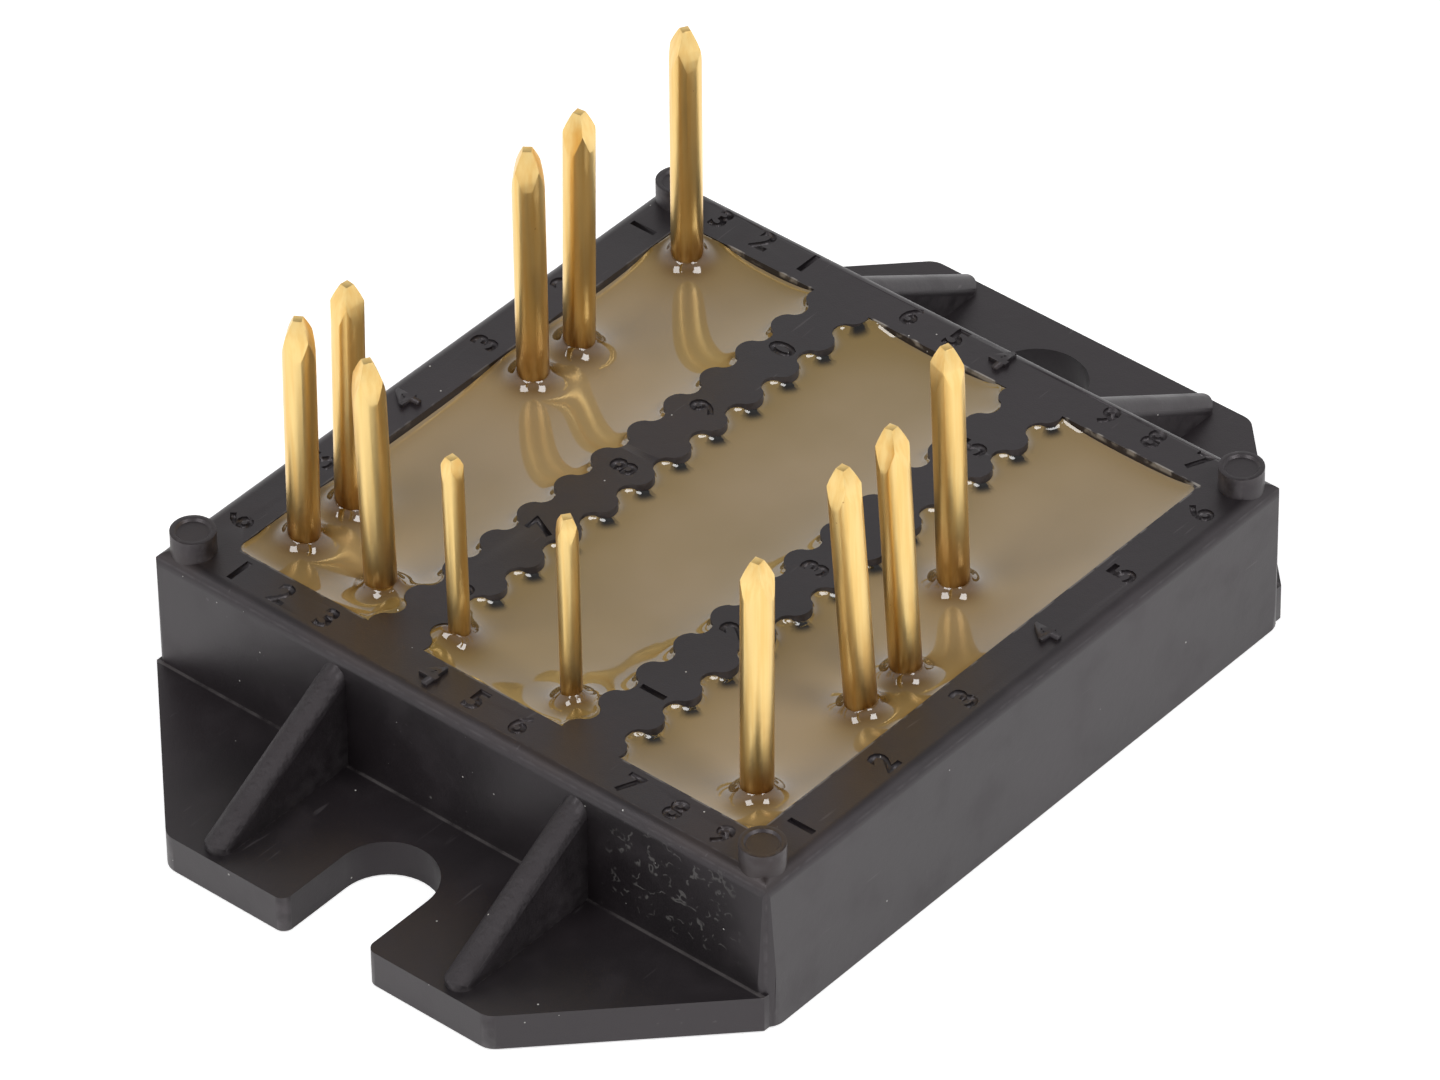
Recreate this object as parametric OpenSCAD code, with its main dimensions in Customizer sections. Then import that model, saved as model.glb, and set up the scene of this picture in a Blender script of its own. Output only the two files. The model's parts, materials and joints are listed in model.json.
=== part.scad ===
// Half-bridge power module for soldering into a circuit board.
// A moulded frame with two screw flanges carries a copper-clad ceramic plate;
// chips, wires and pins stand on the plate and are sealed in gel.
// Millimetres, +Z up, origin at the middle of the underside.

/* [Frame] */
// Length of the frame along X, without its flanges
body_x = 36; // [34:0.5:42]
// Width of the frame along Y
body_y = 36; // [34:0.5:42]
// Height of the frame
body_h = 8; // [7:0.25:11]
// How far the copper underside stands below the frame
seat_proud = 0.1; // [0:0.05:0.25]
// Inward lean of the outer walls, bottom to top
draft = 0.2; // [0:0.05:0.4]
// Radius of the four upright outer corners
corner_r = 1; // [0.5:0.1:2]
// Radius of the outer top edge
edge_r = 0.7; // [0.3:0.1:1.2]
// Width of the frame's top at its two ends
band_x = 2.75; // [2.25:0.25:3.5]
// Width of the frame's top along its two sides
band_y = 2.9; // [2.4:0.25:3.5]
// Radius of the inner corners
inner_r = 0.5; // [0.2:0.1:1]

/* [Cross bars] */
// Distance of each cross bar's middle from the centre line
bar_y = 5.65; // [5:0.25:6.5]
// Width of a cross bar over its lobes
bar_w = 3.3; // [2.8:0.1:3.8]
// Height of a cross bar
bar_h = 3; // [2:0.25:3.5]
// Distance from one lobe to the next
lobe_pitch = 2.5; // [2.2:0.1:3]
// Radius of a lobe's tip
lobe_r = 0.8; // [0.7:0.05:0.95]
// Radius of the half-round bite between two lobes
bite_r = 0.65; // [0.55:0.05:0.75]
// Depth of a bite below the lobe tips
bite_depth = 0.75; // [0.6:0.05:0.9]

/* [Flanges] */
// Reach of each flange beyond the frame
flange_reach = 8.5; // [7.5:0.25:10]
// Thickness of a flange
flange_t = 1.9; // [1.4:0.1:3]
// Width of a flange along its outer edge
flange_tip = 18.7; // [16:0.5:24]
// Radius of a flange's outer corners
flange_r = 1; // [0.5:0.1:2]
// Distance between the two screw places
screw_pitch = 45; // [43:0.5:46]
// Diameter of the round screw hole
hole_d = 4.8; // [4.2:0.1:5.4]
// Width of the open screw slot
slot_w = 4.8; // [4.2:0.1:5.4]
// Radius of the slot's lips
lip_r = 0.5; // [0.2:0.1:0.8]
// Distance of each gusset rib from the centre line
rib_y = 7; // [6:0.25:8]
// Thickness of a gusset rib
rib_t = 1.4; // [1:0.1:2]
// Drop from the frame's top to the top of a rib
rib_drop = 0.7; // [0.4:0.1:2]
// Distance from a rib's foot to the flange's outer edge
rib_foot = 0.3; // [0.2:0.1:2]
// Height of a rib's round end above the flange
rib_end = 0.9; // [0.6:0.1:1.5]

/* [Corner bosses] */
// Diameter of a corner boss
boss_d = 2.1; // [1.6:0.1:2.6]
// Height of a corner boss above the frame
boss_h = 1.1; // [0.5:0.1:2]
// Distance of a boss's middle from the frame's sides
boss_in = 1.5; // [1.3:0.1:2]

/* [Ceramic plate] */
// Thickness of the ceramic
ceramic_t = 0.63; // [0.38:0.05:1]
// Overlap of the ceramic under the frame, all round
ceramic_lap = 1.25; // [0.8:0.05:1.4]
// Thickness of the copper on the underside
base_copper_t = 0.3; // [0.2:0.05:0.5]
// Bare border of the ceramic's underside
base_border = 1; // [0.5:0.1:2]
// Thickness of the copper tracks
track_t = 0.3; // [0.2:0.05:0.5]
// Bare border between the tracks and the frame's inside
track_border = 0.5; // [0.3:0.1:0.8]
// Gap between neighbouring tracks
track_gap = 0.8; // [0.6:0.1:1.2]
// Width of the link from the phase pins to the low side
link_w = 3.4; // [2.5:0.1:4]
// Thickness of the bead that holds the ceramic in the frame
bead_t = 0.15; // [0.1:0.05:0.3]

/* [Chips] */
// Edge of a transistor chip
igbt_size = 6.8; // [6:0.2:7.6]
// Edge of a diode chip
diode_size = 5.2; // [4:0.2:6]
// Thickness of a chip
chip_t = 0.25; // [0.15:0.05:0.4]
// Thickness of the solder under a chip
die_solder_t = 0.1; // [0.05:0.05:0.2]
// Diameter of a power bond wire
wire_d = 0.4; // [0.3:0.05:0.5]
// Diameter of a control bond wire
fine_wire_d = 0.2; // [0.15:0.05:0.3]
// Distance of a wire's foot from the edge of its chip or track
wire_in = 0.6; // [0.5:0.05:0.8]
// Bare border of a track round its chip
chip_edge = 0.7; // [0.5:0.1:1]
// Space between the high transistor and its diode
chip_gap = 1.6; // [1:0.1:2]
// Space between the low transistor and the feet of the high side's wires
land_gap = 0.5; // [0.4:0.1:1]
// Length of the thermistor
ntc_l = 3.2; // [3:0.1:3.4]
// Length of each of its metal ends
ntc_cap = 0.7; // [0.5:0.05:0.9]
// Width of the thermistor
ntc_w = 1.6; // [1:0.1:1.8]
// Height of the thermistor
ntc_h = 0.9; // [0.6:0.1:1.2]

/* [Pins] */
// Diameter of the ten main pins
pin_d = 1.5; // [1.2:0.1:1.7]
// Diameter of the two thermistor pins
thin_d = 1; // [0.8:0.1:1.2]
// Height of the main pins' tips above the underside
pin_top = 21; // [16:0.5:26]
// Height of the thermistor pins' tips above the underside
thin_top = 18; // [14:0.5:24]
// Distance of the pin rows from the inside of the frame's sides
row_in = 1.75; // [1.7:0.05:2]
// Distance of the pin column from the inside of the frame's end
column_in = 2.15; // [2:0.05:2.4]
// Distance between the pins of a pair
pair_pitch = 3.05; // [2.8:0.05:3.4]
// Distance of the first plus pin from its track's end
plus_in = 8.6; // [8.2:0.1:9.2]
// Distance of the first minus pin from its track's end
minus_in = 4.5; // [4:0.1:5]
// Distance of the low gate pin from the same end
gate_in = 13.6; // [13.2:0.1:14]
// Width of a pin's foot beyond its shank, all round
foot_rim = 0.3; // [0.2:0.05:0.35]
// Thickness of a pin's foot
foot_t = 0.4; // [0.3:0.05:0.6]
// Width of the solder round a foot
fillet_w = 0.25; // [0.1:0.05:0.3]
// Bare copper beyond the solder
pad_clear = 0.6; // [0.3:0.1:0.8]
// Length of the four flats that point a main pin
point_l = 2.1; // [1:0.1:3]
// Width of the small flat at a pin's tip
point_flat = 0.45; // [0.2:0.05:0.6]

/* [Gel] */
// Drop from the frame's top to the gel
gel_drop = 0.85; // [0.4:0.05:1.2]

/* [Hidden] */
$fn = 48;
EPS = 0.01;

// Heights, from the underside up
z_ceramic = base_copper_t;
z_tracks = z_ceramic + ceramic_t;
z_pad = z_tracks + track_t;
z_die = z_pad + die_solder_t;
z_chip = z_die + chip_t;
z_ledge = z_tracks + bead_t;
z_frame = seat_proud;
z_top = z_frame + body_h;
z_flange = z_frame + flange_t;
z_gel = z_top - gel_drop;
z_bar = z_top - bar_h;

// Inside of the frame, the ceramic and the field of tracks
inner_x = body_x / 2 - band_x;
inner_y = body_y / 2 - band_y;
ceramic_x = inner_x + ceramic_lap;
ceramic_y = inner_y + ceramic_lap;
field_x = inner_x - track_border;
field_y = inner_y - track_border;
flange_x = body_x / 2 + flange_reach;
hole_x = screw_pitch / 2;

// Borders of the copper tracks
column_x = inner_x - column_in;
row_y = inner_y - row_in;
pad_half = pin_d / 2 + foot_rim + fillet_w + pad_clear;
left_x = -column_x + pad_half + 0.2;
link_x0 = left_x + track_gap;
link_x1 = link_x0 + link_w;
plus_x0 = link_x1 + track_gap;
top_y = row_y - pad_half;
minus_y1 = -row_y + pad_half + 1.5 * pin_d;
phase_y0 = minus_y1 + track_gap;
phase_y1 = phase_y0 + chip_edge / 2 + igbt_size + land_gap + 2 * wire_d + wire_in;
plus_y0 = phase_y1 + track_gap;
corner_x = column_x + 0.4 - pad_half;

// Pins: name, place where the pin leaves the gel, thin or not, and how far
// its tip stands off from straight above that place
PINS = [
    ["pin_phase_1", [-column_x + 0.5, row_y + 0.1], false, [-0.25, -0.5, -0.4]],
    ["pin_phase_2", [-column_x + 0.5 + pair_pitch, row_y + 0.05], false, [-0.15, -0.5, -0.35]],
    ["pin_plus_1", [plus_x0 + plus_in, row_y - 0.1], false, [-0.15, -0.2, -0.15]],
    ["pin_plus_2", [plus_x0 + plus_in + pair_pitch, row_y - 0.2], false, [0.2, -0.2, 0]],
    ["pin_gate_high", [column_x + 0.5, row_y + 0.15], false, [0, -0.15, -0.05]],
    ["pin_sense_high", [-column_x + 0.1, 8.5], false, [-0.35, -0.05, -0.15]],
    ["pin_ntc_1", [-column_x - 0.2, 3.6], true, [-0.1, 0, 0]],
    ["pin_ntc_2", [-column_x - 0.2, -2.9], true, [0, 0, 0]],
    ["pin_sense_low", [-column_x + 0.1, -row_y + 0.15], false, [-0.05, -0.25, -0.1]],
    ["pin_minus_1", [link_x0 + minus_in, -row_y + 0.35], false, [-0.4, 0.65, 0.05]],
    ["pin_minus_2", [link_x0 + minus_in + pair_pitch, -row_y + 0.35], false, [-0.15, 0.7, 0.2]],
    ["pin_gate_low", [link_x0 + gate_in, minus_y1 - pin_d], false, [-0.2, 0.25, 0]]
];
function pin_row(name) = [for (p = PINS) if (p[0] == name) p][0];
function pin_dia(p) = p[2] ? thin_d : pin_d;
// From the gel to the tip
function pin_rise(p) = p[3] + [0, 0, (p[2] ? thin_top : pin_top) - z_gel];
function pin_lean(p) = atan2(norm([p[3][0], p[3][1]]), pin_rise(p)[2]);
function pin_long(p) = (pin_rise(p)[2] + z_gel - z_pad) / cos(pin_lean(p));
// The foot stands back from the place at the gel by the lean below it
function foot_at(p) = p[1] - (z_gel - z_pad) / pin_rise(p)[2] * [p[3][0], p[3][1]];

gate = pin_row("pin_gate_low")[1];
sense = pin_row("pin_sense_high")[1];
ntc_a = pin_row("pin_ntc_1")[1];
ntc_b = pin_row("pin_ntc_2")[1];
ntc_y = (ntc_a[1] + ntc_b[1]) / 2;
ntc_half_gap = ntc_l / 2 - ntc_cap;
sense_y0 = sense[1] - pad_half;
sense_y1 = sense[1] + pad_half - 0.1;
ntc_far_a = sense_y0 - track_gap;
ntc_far_b = ntc_b[1] - pad_half;

// Chips: each one's middle
igbt_high = [plus_x0 + chip_edge + igbt_size / 2, plus_y0 + chip_edge + igbt_size / 2];
diode_high = [igbt_high[0] + (igbt_size + diode_size) / 2 + chip_gap,
              plus_y0 + chip_edge + diode_size / 2];
igbt_low = [link_x0 + chip_edge + igbt_size / 2, phase_y0 + chip_edge / 2 + igbt_size / 2];
diode_low = [gate[0] + pad_half + diode_size / 2 - track_gap / 2,
             phase_y0 + chip_edge + diode_size / 2];
land_high = phase_y1 - wire_in - wire_d;
land_low = minus_y1 - wire_in - wire_d;

// ---- Shapes that repeat ----

// Rectangle about the origin with round corners
module round_rect(half_x, half_y, r) {
    square([2 * half_x, 2 * (half_y - r)], center = true);
    square([2 * (half_x - r), 2 * half_y], center = true);
    for (sx = [-1, 1], sy = [-1, 1])
        translate([sx * (half_x - r), sy * (half_y - r)]) circle(r);
}

// Side view of the frame: leaning walls, top edges rounded
module side_view(half) {
    lean = atan2(draft, body_h);
    t = edge_r * tan((90 - lean) / 2);
    top = half - draft;
    polygon([
        [-half, z_frame], [half, z_frame],
        [top + t * sin(lean), z_top - t * cos(lean)], [top - t, z_top],
        [-top + t, z_top], [-top - t * sin(lean), z_top - t * cos(lean)]
    ]);
    for (s = [-1, 1]) translate([s * (top - t), z_top - edge_r]) circle(edge_r);
}

// Plan of one cross bar: a core with lobes, and bites between the lobes
module bar_plan() {
    count = floor(2 * inner_x / lobe_pitch / 2);
    lobe_line = bar_w / 2 - lobe_r;
    bite_line = bar_w / 2 - bite_depth + bite_r;
    reach = norm([lobe_pitch / 2, bite_line - lobe_line]);
    meet = lobe_line + (bite_line - lobe_line)
        * (reach * reach + lobe_r * lobe_r - bite_r * bite_r) / (2 * reach * reach);
    difference() {
        union() {
            square([2 * inner_x + 2 * EPS, 2 * meet], center = true);
            for (i = [-count:count], s = [-1, 1]) translate([i * lobe_pitch, s * lobe_line])
                circle(lobe_r);
        }
        for (i = [-count:count - 1], s = [-1, 1])
            translate([(i + 0.5) * lobe_pitch, s * bite_line]) circle(bite_r);
    }
}

// Plan of one flange, reaching to +X, with 45 degree sides and round corners
module flange_plan() {
    half = flange_tip / 2;
    root = min(half + flange_reach, body_y / 2 - corner_r / 4);
    side = atan2(flange_reach, root - half);
    t = flange_r * tan(side / 2);
    polygon([
        [body_x / 2 - corner_r, -root], [body_x / 2, -root],
        [flange_x - t * sin(side), -half - t * cos(side)], [flange_x, -half + t],
        [flange_x, half - t], [flange_x - t * sin(side), half + t * cos(side)],
        [body_x / 2, root], [body_x / 2 - corner_r, root]
    ]);
    for (s = [-1, 1]) translate([flange_x - flange_r, s * (half - t)]) circle(flange_r);
}

// Gusset rib on the +X flange: a web with a full round along its slope and
// a round end that stands a little above the flange
module rib() {
    r = rib_t / 2;
    root_x = body_x / 2 - band_x / 2;
    foot_x = flange_x - rib_foot;
    ridge_x = body_x / 2 - draft;
    ridge_z = z_top - rib_drop;
    end_z = z_flange + rib_end;
    slope = atan2(ridge_z - end_z, foot_x - r - ridge_x);
    deep = r / cos(slope);
    intersection() {
        translate([0, 0, z_frame]) linear_extrude(z_top - z_frame) {
            translate([root_x, -r]) square([foot_x - r - root_x, rib_t]);
            translate([foot_x - r, 0]) circle(r);
        }
        union() {
            translate([0, rib_t, 0]) rotate([90, 0, 0]) linear_extrude(2 * rib_t)
                polygon([
                    [root_x, z_frame], [foot_x + EPS, z_frame],
                    [foot_x + EPS, end_z - deep - (r + EPS) * tan(slope)],
                    [root_x, ridge_z - deep + (ridge_x - root_x) * tan(slope)]
                ]);
            translate([foot_x - r, 0, end_z - deep]) rotate([0, -90 + slope, 0])
                translate([0, 0, -2 * r]) cylinder(r = r, h = 2 * body_h + flange_reach);
        }
    }
}

// Plan of a copper track from its rectangles [x0, y0, x1, y1]
module track(rects) {
    color("peru") translate([0, 0, z_tracks]) linear_extrude(track_t)
        for (q = rects) translate([q[0], q[1]]) square([q[2] - q[0], q[3] - q[1]]);
}

// Square chip on its bed of solder
module chip(at, size) {
    color("silver") translate([at[0] - size / 2, at[1] - size / 2, z_die])
        cube([size, size, chip_t]);
}

module die_solder(at, size) {
    color("lightgray") translate([at[0] - size / 2, at[1] - size / 2, z_pad])
        cube([size, size, die_solder_t]);
}

// Bond wire from one surface to another: an arc between two flat feet
module bond_wire(a, b, d) {
    arc = 110;
    flat = b - a;
    run = norm([flat[0], flat[1]]);
    chord = norm(flat);
    r = chord / (2 * sin(arc / 2));
    color("gainsboro") {
        translate((a + b) / 2 + [0, 0, d / 2]) rotate([0, 0, atan2(flat[1], flat[0])])
            rotate([0, -atan2(flat[2], run), 0]) translate([0, 0, -r * cos(arc / 2)])
                rotate([90, 0, 0]) rotate([0, 0, 90 - arc / 2])
                    rotate_extrude(angle = arc) translate([r, 0]) circle(d = d, $fn = 24);
        for (p = [a, b]) translate(p) rotate([0, 0, atan2(flat[1], flat[0])])
            translate([-d, -0.55 * d, 0]) cube([2 * d, 1.1 * d, d]);
    }
}

// Pin standing on its foot, with four flats to a point
module pin(name) {
    p = pin_row(name);
    foot = foot_at(p);
    d = pin_dia(p);
    long = pin_long(p);
    turn = atan2(p[3][1], p[3][0]);
    color("goldenrod") translate([foot[0], foot[1], z_pad]) {
        cylinder(d = d + 2 * foot_rim, h = foot_t);
        rotate([0, 0, turn]) rotate([0, pin_lean(p), 0]) rotate([0, 0, -turn])
            intersection() {
                translate([0, 0, foot_t / 2]) cylinder(d = d, h = long - foot_t / 2);
                for (side = [0, 90]) rotate([90, 0, side])
                    linear_extrude(2 * d, center = true) pin_side(d, long);
            }
    }
}

// Side view of a pin's blank with two of its flats
module pin_side(d, long) {
    point = point_l * d / pin_d;
    flat = point_flat * d / pin_d;
    polygon([[-d / 2 - EPS, 0], [d / 2 + EPS, 0], [d / 2 + EPS, long - point],
        [d / 2, long - point], [flat / 2, long], [-flat / 2, long],
        [-d / 2, long - point], [-d / 2 - EPS, long - point]]);
}

// Ring of solder round a pin's foot
module foot_solder(name) {
    p = pin_row(name);
    foot = foot_at(p);
    r = pin_dia(p) / 2 + foot_rim;
    color("lightgray") translate([foot[0], foot[1], z_pad]) difference() {
        cylinder(r1 = r + fillet_w, r2 = r + fillet_w / 4, h = foot_t * 0.7);
        translate([0, 0, -EPS]) cylinder(r = r, h = foot_t);
    }
}

// ---- The pieces ----

// Frame, cross bars, flanges, ribs and bosses in one moulding
module housing() {
    color("#3f3d42") difference() {
        union() {
            intersection() {
                rotate([90, 0, 0]) linear_extrude(body_y, center = true) side_view(body_x / 2);
                rotate([90, 0, 90]) linear_extrude(body_x, center = true) side_view(body_y / 2);
                linear_extrude(z_top) round_rect(body_x / 2, body_y / 2, corner_r);
            }
            for (turn = [0, 180]) rotate([0, 0, turn]) {
                translate([0, 0, z_frame]) linear_extrude(flange_t) flange_plan();
                for (s = [-1, 1]) translate([0, s * rib_y, 0]) rib();
            }
            for (sx = [-1, 1], sy = [-1, 1])
                translate([sx * (body_x / 2 - boss_in), sy * (body_y / 2 - boss_in), z_top - 1])
                    cylinder(d = boss_d, h = boss_h + 1);
        }
        recess();
        translate([0, 0, z_ledge - EPS]) linear_extrude(z_bar - z_ledge + EPS) inner_plan();
        translate([0, 0, z_bar - EPS]) linear_extrude(bar_h + 2 * EPS) windows_plan();
        translate([hole_x, 0, -EPS]) cylinder(d = hole_d, h = z_flange + 1);
        slot_cut();
    }
}

module inner_plan() {
    round_rect(inner_x, inner_y, inner_r);
}

// The three windows: the inside less the two cross bars
module windows_plan() {
    difference() {
        inner_plan();
        for (s = [-1, 1]) translate([0, s * bar_y]) bar_plan();
    }
}

// Seat in the frame's underside for the ceramic and its bead
module recess() {
    translate([-ceramic_x - bead_t, -ceramic_y - bead_t, -EPS])
        cube([2 * (ceramic_x + bead_t), 2 * (ceramic_y + bead_t), z_ledge + EPS]);
}

// Open screw slot in the -X flange, with round lips
module slot_cut() {
    translate([0, 0, -EPS]) linear_extrude(z_flange + 1) {
        translate([-hole_x, 0]) circle(d = slot_w);
        translate([-flange_x - 1, -slot_w / 2]) square([flange_x + 1 - hole_x, slot_w]);
        for (s = [-1, 1]) difference() {
            translate([-flange_x - 1, s * slot_w / 2 - lip_r])
                square([lip_r + 1, 2 * lip_r]);
            translate([-flange_x + lip_r, s * (slot_w / 2 + lip_r)]) circle(lip_r);
            translate([-flange_x + lip_r - EPS, s * (slot_w / 2 + lip_r) - lip_r])
                square([1, 2 * lip_r]);
        }
    }
}

module base_copper() {
    color("peru") translate([-ceramic_x + base_border, -ceramic_y + base_border, 0])
        cube([2 * (ceramic_x - base_border), 2 * (ceramic_y - base_border), base_copper_t]);
}

module ceramic_plate() {
    color("white") translate([-ceramic_x, -ceramic_y, z_ceramic])
        cube([2 * ceramic_x, 2 * ceramic_y, ceramic_t]);
}

// Silicone bead between the ceramic's rim and its seat
module sealing_bead() {
    color("gray") difference() {
        translate([-ceramic_x - bead_t, -ceramic_y - bead_t, z_ceramic])
            cube([2 * (ceramic_x + bead_t), 2 * (ceramic_y + bead_t), ceramic_t + bead_t]);
        translate([-ceramic_x, -ceramic_y, z_ceramic - EPS])
            cube([2 * ceramic_x, 2 * ceramic_y, ceramic_t + EPS]);
        linear_extrude(z_ledge + 1) inner_plan();
    }
}

module track_phase() {
    track([[-field_x, top_y, link_x1, field_y],
           [link_x0, phase_y0, link_x1, field_y],
           [link_x0, phase_y0, field_x, phase_y1]]);
}

module track_plus() {
    track([[plus_x0, plus_y0, corner_x - track_gap, field_y],
           [plus_x0, plus_y0, field_x, top_y - track_gap]]);
}

module track_minus() {
    track([[link_x0, -field_y, gate[0] - pad_half - track_gap, minus_y1],
           [gate[0] + pad_half + track_gap, -field_y, field_x, minus_y1],
           [link_x0, -field_y, field_x, gate[1] - pad_half - track_gap]]);
}

module track_gate_high() {
    track([[corner_x, top_y, field_x, field_y]]);
}

module track_gate_low() {
    track([[gate[0] - pad_half, gate[1] - pad_half, gate[0] + pad_half, minus_y1]]);
}

module track_sense_high() {
    track([[-field_x, sense_y0, left_x, min(sense_y1, top_y - track_gap)]]);
}

module track_sense_low() {
    track([[-field_x, -field_y, left_x, ntc_far_b - track_gap]]);
}

module track_ntc_1() {
    track([[-field_x, ntc_y + ntc_half_gap, left_x, ntc_far_a]]);
}

module track_ntc_2() {
    track([[-field_x, ntc_far_b, left_x, ntc_y - ntc_half_gap]]);
}

// Thermistor bridging its two tracks
module thermistor() {
    color("darkolivegreen") translate([left_x - ntc_w - 0.1, ntc_y - ntc_l / 2, z_pad])
        cube([ntc_w, ntc_l, ntc_h]);
}

// Wires from the high transistor and diode down to the phase track
module wires_igbt_high() {
    for (i = [-1:1]) bond_wire([igbt_high[0] + i * igbt_size / 3.4, igbt_high[1] - igbt_size / 4, z_chip],
        [igbt_high[0] + i * igbt_size / 3.4, land_high, z_pad], wire_d);
}

module wires_diode_high() {
    for (i = [-1, 1]) bond_wire([diode_high[0] + i * diode_size / 5, diode_high[1], z_chip],
        [diode_high[0] + i * diode_size / 5, land_high, z_pad], wire_d);
}

// Wires from the low transistor and diode down to the minus track
module wires_igbt_low() {
    for (i = [-1:1]) bond_wire([igbt_low[0] + i * igbt_size / 3.4, igbt_low[1] - igbt_size / 6, z_chip],
        [igbt_low[0] + i * igbt_size / 3.4, land_low, z_pad], wire_d);
}

module wires_diode_low() {
    for (i = [0.2, 1.4]) bond_wire([diode_low[0] + i * diode_size / 4, diode_low[1], z_chip],
        [diode_low[0] + i * diode_size / 4, land_low, z_pad], wire_d);
}

// Gate wires, one to each transistor
module wires_gate() {
    bond_wire([igbt_high[0] + igbt_size / 2 - wire_in, igbt_high[1] + igbt_size / 2 - wire_in,
        z_chip], [corner_x + wire_in, top_y + wire_in, z_pad], fine_wire_d);
    bond_wire([igbt_low[0] + igbt_size / 2 - wire_in, igbt_low[1] - igbt_size / 2 + wire_in,
        z_chip], [gate[0] - pad_half + wire_in, minus_y1 - wire_in, z_pad], fine_wire_d);
}

// Emitter sense wires, one from each transistor
module wires_sense() {
    bond_wire([igbt_high[0] - igbt_size / 2 + wire_in, sense[1], z_chip],
        [left_x - 1.5 * fine_wire_d, sense[1], z_pad], fine_wire_d);
    bond_wire([igbt_low[0] - igbt_size / 2 + wire_in, igbt_low[1] - igbt_size / 3, z_chip],
        [left_x - 1.5 * fine_wire_d, igbt_low[1] - igbt_size / 3, z_pad], fine_wire_d);
}

// Everything that stands in the gel
module embedded() {
    track_phase();
    track_plus();
    track_minus();
    track_gate_high();
    track_gate_low();
    track_sense_high();
    track_sense_low();
    track_ntc_1();
    track_ntc_2();
    for (c = [[igbt_high, igbt_size], [diode_high, diode_size],
              [igbt_low, igbt_size], [diode_low, diode_size]]) {
        die_solder(c[0], c[1]);
        chip(c[0], c[1]);
    }
    wires_igbt_high();
    wires_diode_high();
    wires_igbt_low();
    wires_diode_low();
    wires_gate();
    wires_sense();
    thermistor();
    for (p = PINS) {
        pin(p[0]);
        foot_solder(p[0]);
    }
}

// Gel poured round everything on the ceramic, up to just below the frame's top
module gel() {
    color("tan") difference() {
        union() {
            translate([0, 0, z_tracks]) linear_extrude(z_bar - z_tracks) inner_plan();
            translate([0, 0, z_bar - EPS]) linear_extrude(z_gel - z_bar + EPS) windows_plan();
        }
        embedded();
    }
}

housing();
base_copper();
ceramic_plate();
sealing_bead();
track_phase();
track_plus();
track_minus();
track_gate_high();
track_gate_low();
track_sense_high();
track_sense_low();
track_ntc_1();
track_ntc_2();
die_solder(igbt_high, igbt_size);  // solder_igbt_high
die_solder(diode_high, diode_size);  // solder_diode_high
die_solder(igbt_low, igbt_size);  // solder_igbt_low
die_solder(diode_low, diode_size);  // solder_diode_low
chip(igbt_high, igbt_size);
chip(diode_high, diode_size);
chip(igbt_low, igbt_size);
chip(diode_low, diode_size);
wires_igbt_high();
wires_diode_high();
wires_igbt_low();
wires_diode_low();
wires_gate();
wires_sense();
thermistor();
pin("pin_phase_1");  // pin_phase_1
pin("pin_phase_2");  // pin_phase_2
pin("pin_plus_1");  // pin_plus_1
pin("pin_plus_2");  // pin_plus_2
pin("pin_gate_high");  // pin_gate_high
pin("pin_sense_high");  // pin_sense_high
pin("pin_ntc_1");  // pin_ntc_1
pin("pin_ntc_2");  // pin_ntc_2
pin("pin_sense_low");  // pin_sense_low
pin("pin_minus_1");  // pin_minus_1
pin("pin_minus_2");  // pin_minus_2
pin("pin_gate_low");  // pin_gate_low
foot_solder("pin_phase_1");  // foot_solder_phase_1
foot_solder("pin_phase_2");  // foot_solder_phase_2
foot_solder("pin_plus_1");  // foot_solder_plus_1
foot_solder("pin_plus_2");  // foot_solder_plus_2
foot_solder("pin_gate_high");  // foot_solder_gate_high
foot_solder("pin_sense_high");  // foot_solder_sense_high
foot_solder("pin_ntc_1");  // foot_solder_ntc_1
foot_solder("pin_ntc_2");  // foot_solder_ntc_2
foot_solder("pin_sense_low");  // foot_solder_sense_low
foot_solder("pin_minus_1");  // foot_solder_minus_1
foot_solder("pin_minus_2");  // foot_solder_minus_2
foot_solder("pin_gate_low");  // foot_solder_gate_low
gel();
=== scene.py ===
"""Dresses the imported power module: its moulding, gel, pins and circuit, a plain studio and a camera."""

import json
import logging
import math
from dataclasses import dataclass, field
from enum import Enum
from typing import Iterable, Sequence

import bmesh
import bpy
import numpy as np
from mathutils import Matrix, Vector, bvhtree


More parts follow.
